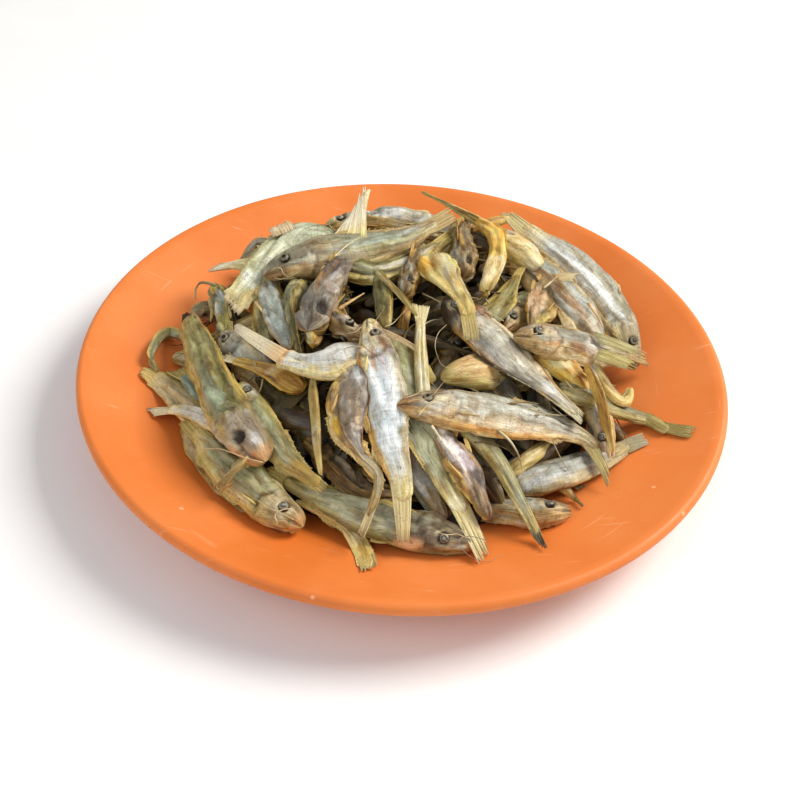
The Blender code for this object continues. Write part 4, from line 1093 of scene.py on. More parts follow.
def trunk(name, row, base):
    """Places in millimetres, colours and grain for one trunk made from a tube."""
    form, colouring, seed, lie = row[0], row[6], SEEDS[name], LIES[name]
    chance = np.random.default_rng(int(seed * 1000)).uniform(0.0, 1.0, 6)
    s, theta = base["along"] * lie.trunk_end, base["turn"]
    cos, sin, side = np.cos(theta), np.sin(theta), np.abs(theta)
    wide, deep = lie.at("wide", s), lie.at("deep", s)
    girth = (wide + deep) / 2
    run, arc = s * lie.length, theta * girth
    body = smooth(0.2, 0.32, s) if form in BODIES else np.ones_like(s)
    move, painted_crease_shade = wrinkles(name, form, s, theta, run, arc, body, seed, chance)
    # Colours go from back to belly, broken by long streaks, silvery film and rusty patches
    *codes, film, amber = COLOURINGS[colouring]
    back, flank, belly, head_tone, tail = (tone(code) for code in codes)
    streak = field(run / 22.0, theta * 1.7, seed + 20.3)
    fine_streak = field(run / 14.0, theta * 4.5, seed + 25.1)
    patch = field(run / 8.0, arc / 3.2, seed + 30.7)
    speckle = field(run / 3.0, arc / 1.5, seed + 40.9)
    height = cos + 0.3 * streak + 0.12 * speckle
    thin = smooth(0.78, 0.97, np.abs(cos) + 0.04 * fine_streak)
    broad = (
        (flank, smooth(-0.7, -0.2, height)),
        (back, smooth(0.3, 0.8, height)),
        (mix(belly, tone("cb953a"), amber), 0.9 * thin * smooth(-0.25, 0.25, streak + 0.3 * speckle)),
        (tone("d9e2e4"), 0.55 * smooth(0.1, 0.4, patch) * (1.0 - thin) * film),
        (tone("8b6a42"), (0.3 * amber + 0.05) * smooth(0.2, 0.5, -patch + 0.4 * speckle)),
        (belly * 1.08, 0.4 * smooth(0.25, 0.5, fine_streak) * body),
        (back * 0.72, 0.3 * smooth(0.25, 0.5, -fine_streak) * body),
        (tail, 0.85 * smooth(0.78, 0.93, s / lie.trunk_end + 0.05 * speckle)),
    )
    on_head, marks, eyes = [], [], []
    if form in BODIES and name not in HEADLESS:
        more, pit, ring, gap, slit, cheek = head_shape(name, lie, s, side, girth, seed)
        in_head = smooth(GILL_STATION + 0.05, GILL_STATION - 0.06, s + 0.03 * streak + 0.02 * speckle)
        move = move * (1.0 - 0.6 * in_head * (name not in CRUMPLED)) + more
        on_head = (
            (head_tone, 0.7 * in_head),
            (belly * 1.1, 0.65 * in_head * smooth(0.9, 1.7, side + 0.6 * patch)),
            (tone("c2c8c4"), 0.6 * in_head * smooth(0.15, 0.4, patch - 0.3 * speckle)),
            (tone("96703f"), 0.4 * in_head * smooth(0.1, 0.4, speckle + 0.4 * streak)),
            (back * 0.7, 0.55 * in_head * smooth(0.8, 0.4, side)),
            (tone("a8793f"), 0.5 * smooth(0.06, 0.02, s) * chance[5]),
        )
        # A cream bone ring round each eye, and painted shade: the eye pits, the gap behind the gill cover,
        # the mouth slit and the cheek creases are painted near black
        eyes = (
            (tone("d0c198"), 0.6 * ring * smooth(-0.5, 0.3, speckle + patch)),
            (tone("120c08"), 0.95 * smooth(0.2, 0.55, pit)),
            (tone("2e2115"), 0.7 * np.clip(gap + slit * 1.2 + 0.6 * cheek, 0.0, 1.0)),
        )
    for at, turned, long, round_, code, strength in PATCHES.get(name, ()):
        near = bump(s, at, long) * bump(theta * shown_side(lie), turned, round_)
        marks.append((tone(code), strength * smooth(0.25, 0.6, near + 0.3 * speckle)))
    # The creases are darkened with painted shade
    paint = covered(belly, broad) * (1.0 - 0.5 * painted_crease_shade)[:, None]
    paint = covered(paint, [*on_head, *marks, *eyes])
    # Brightness varies a little at random, times the fish's painted light and shade
    tone_and_painted_light = (1.0 + 0.1 * field(seed * 3.7, 0.3, 0.9) + 0.08 * patch + 0.1 * speckle) * painted_light_and_shade(name)
    # The section is full at the head, and a lens with a thin back and belly behind it
    power = 2.3 - 0.3 * body
    section = (np.abs(cos) ** power + np.abs(sin) ** power) ** (-1.0 / power)
    lens = 1.0 - body * (0.3 + 0.35 * chance[0]) * (1.0 - np.abs(sin))
    # The ends are rounded off
    near_snout = np.clip(s / 0.035, 0.0, 1.0)
    near_end = np.clip((lie.trunk_end - s) / 0.03, 0.0, 1.0)
    out = np.sqrt(1.0 - (1.0 - near_snout) ** 2) * (0.35 + 0.65 * np.sqrt(1.0 - (1.0 - near_end) ** 2))
    out = out * base["out"]
    move = move * np.clip(girth / 4.5, 0.1, 1.0)
    across = np.maximum(wide * section * lens + move, 0.2) * out * (FLATNESS if form in SCRAPS else 1.0)
    places = lie.off_line(s, across * sin, np.maximum(deep * section + move, 0.2) * out * cos)
    if form in SCRAPS:
        cup = 0.5 * deep * (cos**2 - 0.5) * base["out"] + 0.8 * field(run / 9.0, 0.5, seed)
        places += lie.at("flank", s) * cup[:, None]
    uv = base["uv"] * [lie.trunk_end * lie.length, float(np.mean(girth))] + [seed * 17.0, seed * 5.0]
    return places, paint * tone_and_painted_light[:, None], uv


# %% [markdown]
# Each group of copies becomes one mesh. No point may sink into the plate, and the highest tips must
# stay below the top of the solid heap.

# %% Keep clear of the plate
CEILING = 68.0
CEILING_EASE = 0.3


def kept_in(places):
    """The same places, none of them in the plate, and the highest tips drawn down a little."""
    floor = plate_top(places[:, 0], places[:, 1]) + CLEARANCE
    height = np.maximum(places[:, 2], floor)
    places[:, 2] = np.minimum(height, CEILING + CEILING_EASE * (height - CEILING))
    return places


def copies(mesh, count):
    """One mesh that holds another a number of times."""
    bm = bmesh.new()
    for _ in range(count):
        bm.from_mesh(mesh)
    return as_mesh(bm)


def joined(base, parts):
    """One mesh in metres of many copies of a template, each with its own places, colours and grain."""
    mesh = copies(base["mesh"], len(parts))
    places, paint, uv = (np.concatenate(rows) for rows in zip(*parts))
    colours = np.hstack([np.clip(paint, 0.0, 1.0), np.ones((len(paint), 1))])
    mesh.vertices.foreach_set("co", (kept_in(places) * MM).ravel())
    mesh.color_attributes["paint"].data.foreach_set("color", colours.ravel())
    mesh.uv_layers["grain"].data.foreach_set("uv", uv.ravel())
    mesh.update()
    return mesh


# %% [markdown]
# ## Dried skin
#
# Dried fish skin is a thin, tough film over shrunken flesh. It keeps some of the fish's silver, so it
# has a soft shine, broken by lengthwise creases that the colour darkens as painted shade, with a little
# painted light on the swells between, fine cross lines from the muscles beneath, and small dark specks.
# The painted attribute carries the broad colours. The nodes add what is finer than the mesh: they read
# the grain map, which is in millimetres along the fish and round it, so the creases follow each body.

# %% Finish for skin
def dried_skin(name, shine, crease, scales, flake):
    """Dried catfish skin: a wrinkled film, satin to dull, with flakes, creases, muscle lines and specks."""
    made, tree, shader, place = empty_material(name)
    grain = add(tree, "UVMap", {}, uv_map="grain")
    # Nothing on a fish is straight, so the grain map is pushed about by a millimetre or two
    push = add(tree, "TexNoise", {"Vector": grain, "Scale": 1 / 5, "Detail": 2.0})
    far = {0: push.outputs["Color"], 1: (5.0, 2.4, 0.0), 2: grain}
    bent = add(tree, "VectorMath", far, operation="MULTIPLY_ADD")
    # Tints are amber where fat has dried and pale where film is left
    tints = [(0.34, "7c5c34"), (0.46, "babab4"), (0.64, "eef2f2")]
    # Each pattern: its map, its length and width in mm, its start, detail, roughness, distortion and stops
    patterns = {
        "tint": (bent, 9.0, 2.0, (0.0, 0.0), 4.0, 0.6, 0.5, tints),
        "crease": (bent, 12.0, 0.75, (0.0, 0.0), 4.0, 0.6, 0.6, [(0.33, 0.45), (0.41, 0.95), (0.66, 1.13)]),
        "vein": (grain, 25.0, 3.4, (3.0, 7.0), 2.0, 0.5, 1.6, [(0.47, 0.0), (0.5, 0.28), (0.53, 0.0)]),
        # Muscle lines run across the fish
        "muscle": (grain, 1.1, 6.0, (0.0, 0.0), 1.0, 0.5, 0.5, [(0.38, 0.78), (0.56, 1.08)]),
    }
    noise, cut = {}, {}
    for label, (where, long, wide, start, detail, rough, twist, stops) in patterns.items():
        stretch = {"Vector": where, "Location": (*start, 0.0), "Scale": (1 / long, 1 / wide, 1.0)}
        inputs = {"Vector": add(tree, "Mapping", stretch), "Scale": 1.0, "Detail": detail}
        noise[label] = add(tree, "TexNoise", {**inputs, "Roughness": rough, "Distortion": twist})
        cut[label] = add(tree, "ValToRGB", {"Fac": noise[label]}, stops)
    # Flakes of skin 5 mm long and 2 mm wide, each with its own tint, and rusty cracks between some of them
    cells = {"Vector": add(tree, "Mapping", {"Vector": bent, "Scale": (1 / 5, 1 / 2.0, 1.0)}), "Scale": 1.0}
    flakes = add(tree, "TexVoronoi", cells, voronoi_dimensions="2D")
    tints = [(0.3, "8a7550"), (0.42, "b4b2a2"), (0.55, "bcc3c4"), (0.7, "f0eada")]
    flake_tint = add(tree, "ValToRGB", {"Fac": flakes.outputs["Color"]}, tints)
    edges = add(tree, "TexVoronoi", cells, voronoi_dimensions="2D", feature="DISTANCE_TO_EDGE")
    line = add(tree, "ValToRGB", {"Fac": edges}, [(0.01, 0.9), (0.07, 0.0)])
    crack = add(tree, "ValToRGB", {"Fac": push}, [(0.46, 0.0), (0.56, 1.0)])
    crack = add(tree, "Math", {0: line, 1: crack}, operation="MULTIPLY")
    crack = add(tree, "Math", {0: crack, 1: 0.9 * flake}, operation="MULTIPLY", use_clamp=True)
    # Dark specks 0.5 mm wide, in clouds
    speck = add(tree, "TexNoise", {"Vector": place, "Scale": 1 / 0.0007, "Detail": 1.0})
    cloud = add(tree, "TexNoise", {"Vector": place, "Scale": 1 / 0.006, "Detail": 2.0})
    speck = add(tree, "ValToRGB", {"Fac": speck}, [(0.6, 0.0), (0.7, 0.5)])
    cloud = add(tree, "ValToRGB", {"Fac": cloud}, [(0.45, 0.0), (0.6, 1.0)])
    speckled = add(tree, "Math", {0: speck, 1: cloud}, operation="MULTIPLY")
    colour = add(tree, "Attribute", {}, attribute_name="paint")
    for share, over, blend in (
        (0.75, cut["tint"], "SOFT_LIGHT"),
        (flake, flake_tint, "OVERLAY"),
        (crack, "70461f", "MIX"),
        # Creases are multiplied darker as painted shade, and the swells between a little lighter as painted
        # light
        (crease, cut["crease"], "MULTIPLY"),
        (cut["vein"], "7c5428", "MIX"),
        (scales, cut["muscle"], "MULTIPLY"),
        (speckled, "43331f", "MIX"),
    ):
        colour = add(tree, "Mix", {0: share, 6: colour, 7: over}, data_type="RGBA", blend_type=blend)
    dull = add(tree, "ValToRGB", {"Fac": noise["tint"]}, [(0.35, shine + 0.22), (0.65, shine)])
    relief = add(tree, "Math", {0: cut["vein"], 1: -0.5, 2: noise["crease"]}, operation="MULTIPLY_ADD")
    relief = add(tree, "Math", {0: noise["muscle"], 1: 0.5 * scales, 2: relief}, operation="MULTIPLY_ADD")
    bumped = add(tree, "Bump", {"Height": relief, "Strength": 0.5, "Distance": 0.0008})
    feed(tree, shader, {"Base Color": colour, "Roughness": dull, "Normal": bumped, "IOR": 1.45})
    return made


# %% [markdown]
# Each kind of skin is one piece, made of all the trunks with its colourings.

# %% Build the trunks
# The colourings in each piece, and its skin: shine, creases, muscle lines and flakes
GROUPS = {
    "silver": (("silver", "white", "green"), dried_skin("silvery_dried_skin", 0.32, 0.5, 0.6, 0.2)),
    "grey": (("grey",), dried_skin("grey_dried_skin", 0.34, 0.55, 0.45, 0.2)),
    "olive": (("olive", "pale_olive"), dried_skin("olive_dried_skin", 0.4, 0.55, 0.25, 0.12)),
    "brown": (("brown", "purple", "dark"), dried_skin("brown_dried_skin", 0.3, 0.7, 0.35, 0.35)),
    "straw": (("straw", "cream", "golden", "butter"), dried_skin("straw_dried_skin", 0.42, 0.6, 0.1, 0.12)),
}
SEED_STEP = 0.731
SEEDS = {name: 1.0 + SEED_STEP * number for number, name in enumerate(ROWS)}
for label, (colourings, material) in GROUPS.items():
    parts = [trunk(name, row, TRUNK) for name, row in ROWS.items() if row[6] in colourings]
    finish_piece(label + "_fish", joined(TRUNK, parts), material)

# %% [markdown]
# ## The core
#
# Under the fish that show lie many more. Hardly any of them can be seen, so they are one lumpy mound,
# painted near black as the painted shade of the gaps: a sphere flattened between the heap's skin and
# the plate.

# %% Make the core
CORE_DEPTH = 17.0
CORE_RADIUS = 76.0
CORE_FORWARD = 8.0
CORE_EDGE = 2.0
CORE_EDGE_WIDTH = 3.0
CORE_FALL = 1.0
# Height and width of the broad and the small lumps, and their place in the field
CORE_LUMPS = ((2.2, 9.0, 4.2), (1.2, 4.0, 8.7))


def heap_core():
    """The mound's mesh: the upper half follows the skin, and the lower half the plate."""
    bm = bmesh.new()
    bmesh.ops.create_uvsphere(bm, u_segments=96, v_segments=64, radius=1.0)
    mesh = as_mesh(bm)
    places = read(mesh.vertices, "co", 3)
    x, y = places[:, 0] * CORE_RADIUS, places[:, 1] * CORE_RADIUS - CORE_FORWARD
    floor = plate_top(x, y) + CLEARANCE
    lump = sum(high * field(x / wide, y / wide, spot) for high, wide, spot in CORE_LUMPS)
    inward = CORE_RADIUS * (1.0 - np.hypot(places[:, 0], places[:, 1]))
    top = np.minimum(skin(x, y) - CORE_DEPTH, floor + CORE_EDGE + CORE_FALL * inward) + lump
    top = np.maximum(top, floor + CORE_EDGE * np.clip(inward / CORE_EDGE_WIDTH, 0.0, 1.0))
    z = np.where(places[:, 2] > 1e-6, top, floor)
    mesh.vertices.foreach_set("co", (np.stack([x, y, z], axis=1) * MM).ravel())
    mesh.update()
    return mesh


def painted_shade_scraps():
    """Fish deep in the heap, painted near black as the painted shade of the gaps, with brown skin and bone
    dust.
    """
    made, tree, shader, place = empty_material("painted_shade_dried_fish")
    strands = add(tree, "Mapping", {"Vector": place, "Scale": (1.0, 3.5, 2.0), "Rotation": (0.0, 0.0, 0.8)})
    noise = add(tree, "TexNoise", {"Vector": strands, "Scale": 1 / 0.006, "Detail": 6.0, "Roughness": 0.65})
    # Near black to dark brown: painted shade
    colour = add(tree, "ValToRGB", {"Fac": noise}, [(0.4, "0a0604"), (0.58, "1c140c"), (0.78, "4a3a23")])
    bumped = add(tree, "Bump", {"Height": noise, "Strength": 0.8, "Distance": 0.003})
    feed(tree, shader, {"Base Color": colour, "Roughness": 0.7, "Normal": bumped})
    return made


finish_piece("heap_core", heap_core(), painted_shade_scraps())

# %% [markdown]
# More fish lie just under the ones that show, crossing at every angle, and are glimpsed in the gaps.
# They are the same trunk with fewer faces, at random places under the skin from a fixed seed. The
# same kind lies on the plate along the far foot of the heap, where the slope ends.

# %% Fish deep in the heap
DEEP_SEED = 23
DEEP_COUNT = 64
DEEP_REACH = 74.0
DEEP_OVERHANG = 8.0
DEEP_FORWARD = 2.0
DEEP_UNDER = (9.0, 19.0)
DEEP_LENGTH = (56.0, 78.0)
DEEP_BEND = (-8.0, 8.0)
DEEP_WIDTH = (7.0, 9.5)
DEEP_DEPTH = (9.0, 13.0)
DEEP_TURNS = (-75.0, -40.0, 40.0, 75.0)
DEEP_COLOURINGS = ("brown", "olive", "grey", "pale_olive", "purple", "straw", "olive", "silver")
DEEP_TRUNK = tube(*DEEP_TRUNK_FACES, DEEP_TRUNK_CROWDING)
GOLDEN_ANGLE = math.pi * (3.0 - math.sqrt(5.0))
FOOT_COUNT = 18
FOOT_ARC = (math.radians(18.0), math.radians(162.0))
FOOT_RING = (70.0, 86.0)
FOOT_HEIGHTS = (6.0, 15.0)
FOOT_REACH = 96.0
FOOT_SWINGS = (0.4, 1.0, 2.1, 2.7)


def deep_row(draw, points, colouring):
    """A row like those in the table, with its sizes and turn drawn."""
    width, depth, turn = draw.uniform(*DEEP_WIDTH), draw.uniform(*DEEP_DEPTH), draw.choice(DEEP_TURNS)
    return ("plain", "set", width, depth, turn, points, colouring)


def deep_fish():
    """Rows for the deep fish, spread evenly as seeds are in a sunflower, and for those at the foot."""
    draw = random.Random(DEEP_SEED)
    made = {}
    for number in range(DEEP_COUNT):
        radius, around = DEEP_REACH * math.sqrt((number + 0.5) / DEEP_COUNT), number * GOLDEN_ANGLE
        x, y = radius * math.cos(around), radius * math.sin(around) - DEEP_FORWARD
        heading, half = draw.uniform(0.0, 2.0 * math.pi), draw.uniform(*DEEP_LENGTH) / 2
        under, bend = draw.uniform(*DEEP_UNDER), draw.uniform(*DEEP_BEND)
        where = x, y, heading, half, bend, DEEP_REACH + DEEP_OVERHANG
        points = bent_points(*where, lambda px, py: skin(px, py) - under)
        made[f"deep_{number}"] = deep_row(draw, points, DEEP_COLOURINGS[number % len(DEEP_COLOURINGS)])
    for number in range(FOOT_COUNT):
        around = in_turn(draw, number, FOOT_COUNT, *FOOT_ARC)
        radius, above = draw.uniform(*FOOT_RING), draw.uniform(*FOOT_HEIGHTS)
        heading = around + math.pi * (number % 2) + draw.choice(FOOT_SWINGS)
        x, y = radius * math.cos(around), radius * math.sin(around)
        where = x, y, heading, draw.uniform(*DEEP_LENGTH) / 2, draw.uniform(*DEEP_BEND), FOOT_REACH
        points = bent_points(*where, lambda px, py: plate_top(px, py) + above)
        made[f"foot_{number}"] = deep_row(draw, points, FILL_COLOURINGS[number % len(FILL_COLOURINGS)])
    return made


DEEP = deep_fish()
LIES.update({name: Lie(name, *row[:6]) for name, row in DEEP.items()})
SEEDS.update({name: 100.0 + SEED_STEP * number for number, name in enumerate(DEEP)})
# Fish whose names begin with deep_ are painted dark as painted shade, and those at the foot are not
deep_parts = [trunk(name, row, DEEP_TRUNK) for name, row in DEEP.items()]
finish_piece("deep_fish", joined(DEEP_TRUNK, deep_parts), GROUPS["brown"][1])

# %% [markdown]
# ## Tails, fins and spines
#
# A fin is a row of thin rays with a film between them. Dried, the film shrinks and tears, and the rays
# stand out like straw. So each fin is made of two things: a fan of thin rods and a thin web. Both are
# templates that are copied and bent: a rod's ends follow the fin's root and its ragged outer edge.
# A tail has sixteen rays, and a fin on the body has eight.

# %% Templates for fins
TAIL_RAYS = 16
BODY_RAYS = 8
ROD_FACES = (4, 5)
WEB_STEPS = 5
WEB_THICKNESS = 0.02


def ray_fan(count):
    """A row of thin closed rods, with where each point stands along its rod, round it and in the row."""
    rod = tube(*ROD_FACES)
    fan = {key: np.tile(rod[key], count) for key in ("along", "turn", "out")}
    fan["row"] = np.repeat(np.arange(count), len(rod["along"]))
    return {**fan, "uv": np.tile(rod["uv"], (count, 1)), "mesh": copies(rod["mesh"], count)}


def map_grain(bm, start):
    """Maps the grain along X and Y, from a start."""
    layer = bm.loops.layers.uv.new("grain")
    for face in bm.faces:
        for loop in face.loops:
            loop[layer].uv = (loop.vert.co.x + start, loop.vert.co.y + start)


def web(count):
    """A thin closed sheet along X and across Y, with where each point stands."""
    bm = bmesh.new()
    bmesh.ops.create_grid(bm, x_segments=WEB_STEPS, y_segments=count, size=0.5)
    map_grain(bm, 0.5)
    bmesh.ops.solidify(bm, geom=bm.faces, thickness=WEB_THICKNESS)
    bmesh.ops.recalc_face_normals(bm, faces=bm.faces)
    mesh, places, uv = template(bm)
    x, y, z = places.T
    face = np.sign(z - (z.max() + z.min()) / 2)
    return {"mesh": mesh, "along": x + 0.5, "row": (y + 0.5) * (count - 1), "face": face, "uv": uv}


FANS = {count: {"rays": ray_fan(count), "webs": web(count)} for count in (TAIL_RAYS, BODY_RAYS)}
print("a tail has", len(FANS[TAIL_RAYS]["rays"]["along"]), "points in its rays")

# %% [markdown]
# A fin is given by three rows of points, one for each ray: where the rays leave the body, where they
# pass half way and where they end. The same rows bend the rods and the web.

# %% Bend a fin
FINS = {count: {"rays": [], "webs": []} for count in FANS}
RAY_GRAIN = 12.0
WEB_GRAIN = 14.0
# The film's half thickness as a share of a ray's thickness
FILM_SHARE = 0.13


def bezier(start, middle, end, t):
    """Places and slopes on curves from start past middle to end."""
    t = t[:, None]
    places = (1 - t) ** 2 * start + 2 * t * (1 - t) * middle + t**2 * end
    return places, 2 * (1 - t) * (middle - start) + 2 * t * (end - middle)


def fin(start, middle, end, normal, thickness, codes, seed, torn, light=1.0):
    """Adds a fin: its rays and the film between them."""
    count = len(start)
    # light is the fish's painted light and shade, which darkens or lightens the whole fin
    root, tip = (tone(code) * light for code in codes)
    rays, film = FANS[count]["rays"], FANS[count]["webs"]
    t, row, turn = rays["along"], rays["row"], rays["turn"]
    places, slope = bezier(start[row], middle[row], end[row], t)
    slope = unit(slope)
    side = unit(np.cross(slope, normal))
    above = np.cross(side, slope)
    size = thickness * (1.0 - 0.45 * t) * (1.0 + 0.3 * np.sin(row * 2.1 + seed)) / 2 * rays["out"]
    places = places + side * (size * np.sin(turn))[:, None] + above * (size * np.cos(turn))[:, None]
    shade = 1.08 * (1.0 + 0.12 * np.sin(row * 1.7 + seed * 3.0))
    paint = mix(root, tip, smooth(0.05, 0.5, t)) * shade[:, None]
    FINS[count]["rays"].append((places, paint, rays["uv"] * RAY_GRAIN + seed))
    t, row = film["along"], film["row"]
    ragged = 1.0 - torn * (0.5 + 0.5 * field(row * 0.8, seed, 0.5))
    low = np.floor(np.clip(row, 0, count - 1.001)).astype(int)
    share = (row - low)[:, None]
    rows = [points[low] * (1 - share) + points[low + 1] * share for points in (start, middle, end)]
    places, _ = bezier(*rows, t * ragged)
    places = places + np.asarray(normal) * (FILM_SHARE * thickness * film["face"])[:, None]
    paint = mix(root, tip, smooth(0.05, 0.5, t)) * 0.9
    FINS[count]["webs"].append((places, paint, film["uv"] * WEB_GRAIN + seed))


print("fins have", " or ".join(str(count) for count in FANS), "rays")

# %% [markdown]
# Every fish ends in a tail fin. A whole fish also has fins on its back, behind its belly and on both
# sides, and low fringes.

# %% Grow the fins
# Tails with a colour of their own, at the root and at the tip
TAIL_CODES = {
    "front_silver": ("eadca0", "e4d29c"), "front_olive": ("d9c67c", "e6d9a8"),
    "white_curved": ("e8bd80", "f6e6c6"), "left_small_tail": ("d8c9a4", "e3d3ae"),
    "golden_end": ("d6bd8a", "e6d8b2"), "straw_left_back": ("cdbb82", "ece3c0"),
    "middle_yellow": ("c2ac5c", "cbb77c"), "front_thin": ("8a7c58", "6b5f48"),
    "left_olive": ("6f6444", "4a3a28"), "short_tail": ("c6b478", "c2ac74"),
    "brown_curved": ("b8a878", "cdb98a"), "right_ribbed": ("d8c080", "eadfb8"),
    "right_big": ("d9c078", "e6d49c"), "pale_big": ("d2c08e", "dcc9a0"),
    "front_level": ("bda670", "dccb8c"), "middle_diagonal": ("b8ae94", "cfc7a8"),
}
# Fins on the body: a step in the seed, the station, the angle from the back, the length of the rays
# and of the root in millimetres, and the lean in degrees
BODY_FINS = (
    (0.1, 0.32, 0.0, 9.0, 5.0, 14),
    (0.3, 0.62, math.pi, 6.0, 7.0, 18),
    (-0.2, 0.24, -2.1, 9.0, 2.5, 12),
    (0.2, 0.24, 2.1, 9.0, 2.5, 12),
    # The low fringes of the fatty fin on the back and of the skin along the belly
    (0.5, 0.5, 0.0, 3.2, 20.0, 38),
    (0.7, 0.34, math.pi, 2.6, 16.0, 45),
)
TAIL_OVERLAP = 0.07


def tail_fin(name, colouring, seed):
    """The tail: rays from the end of the trunk to the tail tip, lying side by side like a worn brush."""
    lie, draw = LIES[name], np.random.default_rng(int(seed * 1000))
    lane = np.linspace(-1.0, 1.0, TAIL_RAYS)
    root_s = np.full(TAIL_RAYS, lie.trunk_end - TAIL_OVERLAP)
    spread = draw.uniform(0.62, 0.9)
    # The end is cut square or on a slant, and a few rays have broken off
    slant = draw.uniform(-0.02, 0.02)
    broken = np.where(draw.uniform(0.0, 1.0, TAIL_RAYS) < 0.2, draw.uniform(0.0, 0.04, TAIL_RAYS), 0.0)
    tip_s = 0.99 + slant * lane - broken - draw.uniform(0.0, 0.012, TAIL_RAYS)
    root_deep, tip_deep = float(lie.at("deep", root_s[0])), float(lie.at("deep", 1.0)) * spread
    splay = lane + draw.uniform(-0.05, 0.05, TAIL_RAYS)
    flat, cupped = draw.uniform(-0.3, 0.3, TAIL_RAYS), draw.uniform(-1.0, 1.0)
    level = np.zeros(TAIL_RAYS)
    root = lie.off_line(root_s, level, lane * 0.8 * root_deep)
    half = lie.off_line((root_s + tip_s) / 2, level, lane * (0.45 * root_deep + 0.5 * tip_deep))
    tip = lie.off_line(tip_s, flat + cupped * lane**2, splay * tip_deep)
    thickness = max(0.6, 2.0 * (tip_deep + root_deep) / TAIL_RAYS)
    codes = TAIL_CODES.get(name, (COLOURINGS[colouring][4],) * 2)
    # The tail gets its fish's painted light and shade
    fin(root, half, tip, lie.at("flank", 0.95), thickness, codes, seed, 0.12, painted_light_and_shade(name))


def body_fin(name, colouring, seed, s, theta, length, base, lean):
    """A fin on the trunk at a station and an angle from the back, leaning towards the tail."""
    lie, draw = LIES[name], np.random.default_rng(int(seed * 1000) + 5)
    lane = np.linspace(0.0, 1.0, BODY_RAYS)
    root_s = s + lane * base / lie.length
    root = lie.on_skin(root_s, theta, 0.85)
    outward = unit(lie.on_skin(root_s, theta) - lie.at("line", root_s))
    along = lie.at("along", root_s)
    reach = length * (1.0 - 0.5 * lane) * draw.uniform(0.8, 1.0, BODY_RAYS)
    lean = math.radians(lean) * draw.uniform(0.6, 1.6)
    way = unit(outward * math.sin(lean) + along * math.cos(lean))
    rise = unit(outward * math.sin(lean * 1.5) + along * math.cos(lean * 1.5))
    half, end = root + rise * (reach * 0.5)[:, None], root + way * reach[:, None]
    codes = COLOURINGS[colouring][2], COLOURINGS[colouring][4]
    # The fin gets its fish's painted light and shade
    fin(root, half, end, unit(np.cross(along[0], outward[0])), 0.6, codes, seed, 0.4, painted_light_and_shade(name))


for name, row in {**ROWS, **DEEP}.items():
    if row[0] not in SCRAPS:
        tail_fin(name, row[6], SEEDS[name])
    if row[0] == "whole":
        for step, *shape in BODY_FINS:
            body_fin(name, row[6], SEEDS[name] + step, *shape)
print(len(FINS[TAIL_RAYS]["rays"]), "tails and", len(FINS[BODY_RAYS]["rays"]), "body fins")

# %% [markdown]
# A few fins stand out in the photograph and get places of their own: root, tip, root and tip of the
# first and the last ray. The same way makes the small bundle of broken rays that lies over a fish.

# %% Place single fins
# Places in millimetres, over the skin or with a height of their own: first root, first tip, last root
# and last tip. Then how far above the skin, the ray's thickness and the colours at the root and the tip
SINGLE_FINS = {
    "silver_pectoral": (((-9, -21), (3, -28), (-7, -25), (4, -31)), 6.0, 0.4, "d6b98c", "c4ab80"),
    "big_pectoral": (
        ((58, 24, 52), (69, 25.5, 52), (60.5, 19, 52), (66, 20.5, 52)), 0.0, 0.5, "cfaa70", "cbb98c"
    ),
    "ray_bundle": (((-53, -67), (-61, -75), (-55, -69), (-64, -73)), 7.0, 0.9, "c0a468", "a8905c"),
    "crest_leaf": (
        ((-33, 28, 59), (-26, 41, 63), (-18.6, 28, 60), (-20.9, 56.5, 69)), 0.0, 0.7, "e6cd7c", "eee4c8"
    ),
    "pale_frayed": (
        ((-57, 34, 55), (-60, 40, 55), (-49, 40, 55), (-52, 46, 56)), 0.0, 0.7, "bda684", "dcc8a4"
    ),
    "head_fin_upper": (
        ((74, -2, 44), (95, -3, 37), (76, -7, 43), (91, -7, 37)), 0.0, 0.55, "bcb486", "b8ac76"
    ),
    "head_fin_lower": (
        ((76, -10, 42), (91.5, -10, 36), (74, -15, 41), (88, -15, 36)), 0.0, 0.55, "c2b67c", "b5a666"
    ),
    "edge_spines": (((86, 38, 40), (84, 43, 41), (90, 32, 38), (89, 37, 40)), 0.0, 0.5, "d3bd92", "e2d2aa"),
}


def lifted(places, rise):
    """Points above the skin that still hide the same spot from the viewer."""
    found = []
    for x, y, *height in places:
        over = (x, y - rise / math.tan(SIGHT_ANGLE), float(skin(x, y)) + rise)
        found.append((x, y, *height) if height else over)
    return np.array(found, float)


for number, (places, rise, thickness, *codes) in enumerate(SINGLE_FINS.values()):
    corners = lifted(places, rise)
    lane = np.linspace(0.0, 1.0, BODY_RAYS)[:, None]
    root = corners[0] * (1 - lane) + corners[2] * lane
    tip = corners[1] * (1 - lane) + corners[3] * lane
    tip = root + (tip - root) * (1.0 + 0.12 * np.sin(lane * 19.0 + number))
    fin(root, (root + tip) / 2 + [0.0, 0.0, 1.0], tip, unit(SIGHT), thickness, codes, 0.37 * number, 0.15)
print(len(SINGLE_FINS), "single fins")

# %% [markdown]
# The rays and the webs of each size are one piece each, with one thin pale film as their skin.

# %% Build the fins
fin_skin = dried_skin("dried_fin_film", 0.42, 0.5, 0.0, 0.1)
for kind in ("rays", "webs"):
    for count, label in ((TAIL_RAYS, "tail"), (BODY_RAYS, "body")):
        finish_piece(f"{label}_fin_{kind}", joined(FANS[count][kind], FINS[count][kind]), fin_skin)

# %% [markdown]
# ## Eyes
#
# A dried eye is a small hard bead that has sunk into its socket: a dark pupil in a grey, glassy ring.
# One sphere is copied to both sides of each head, and painted by how far each point looks outwards.

# %% Set the eyes
def bead():
    """A small sphere with its points as directions."""
    bm = bmesh.new()
    bmesh.ops.create_uvsphere(bm, u_segments=14, v_segments=10, radius=1.0)
    map_grain(bm, 0.0)
    return dict(zip(("mesh", "ways", "uv"), template(bm)))


BEAD = bead()


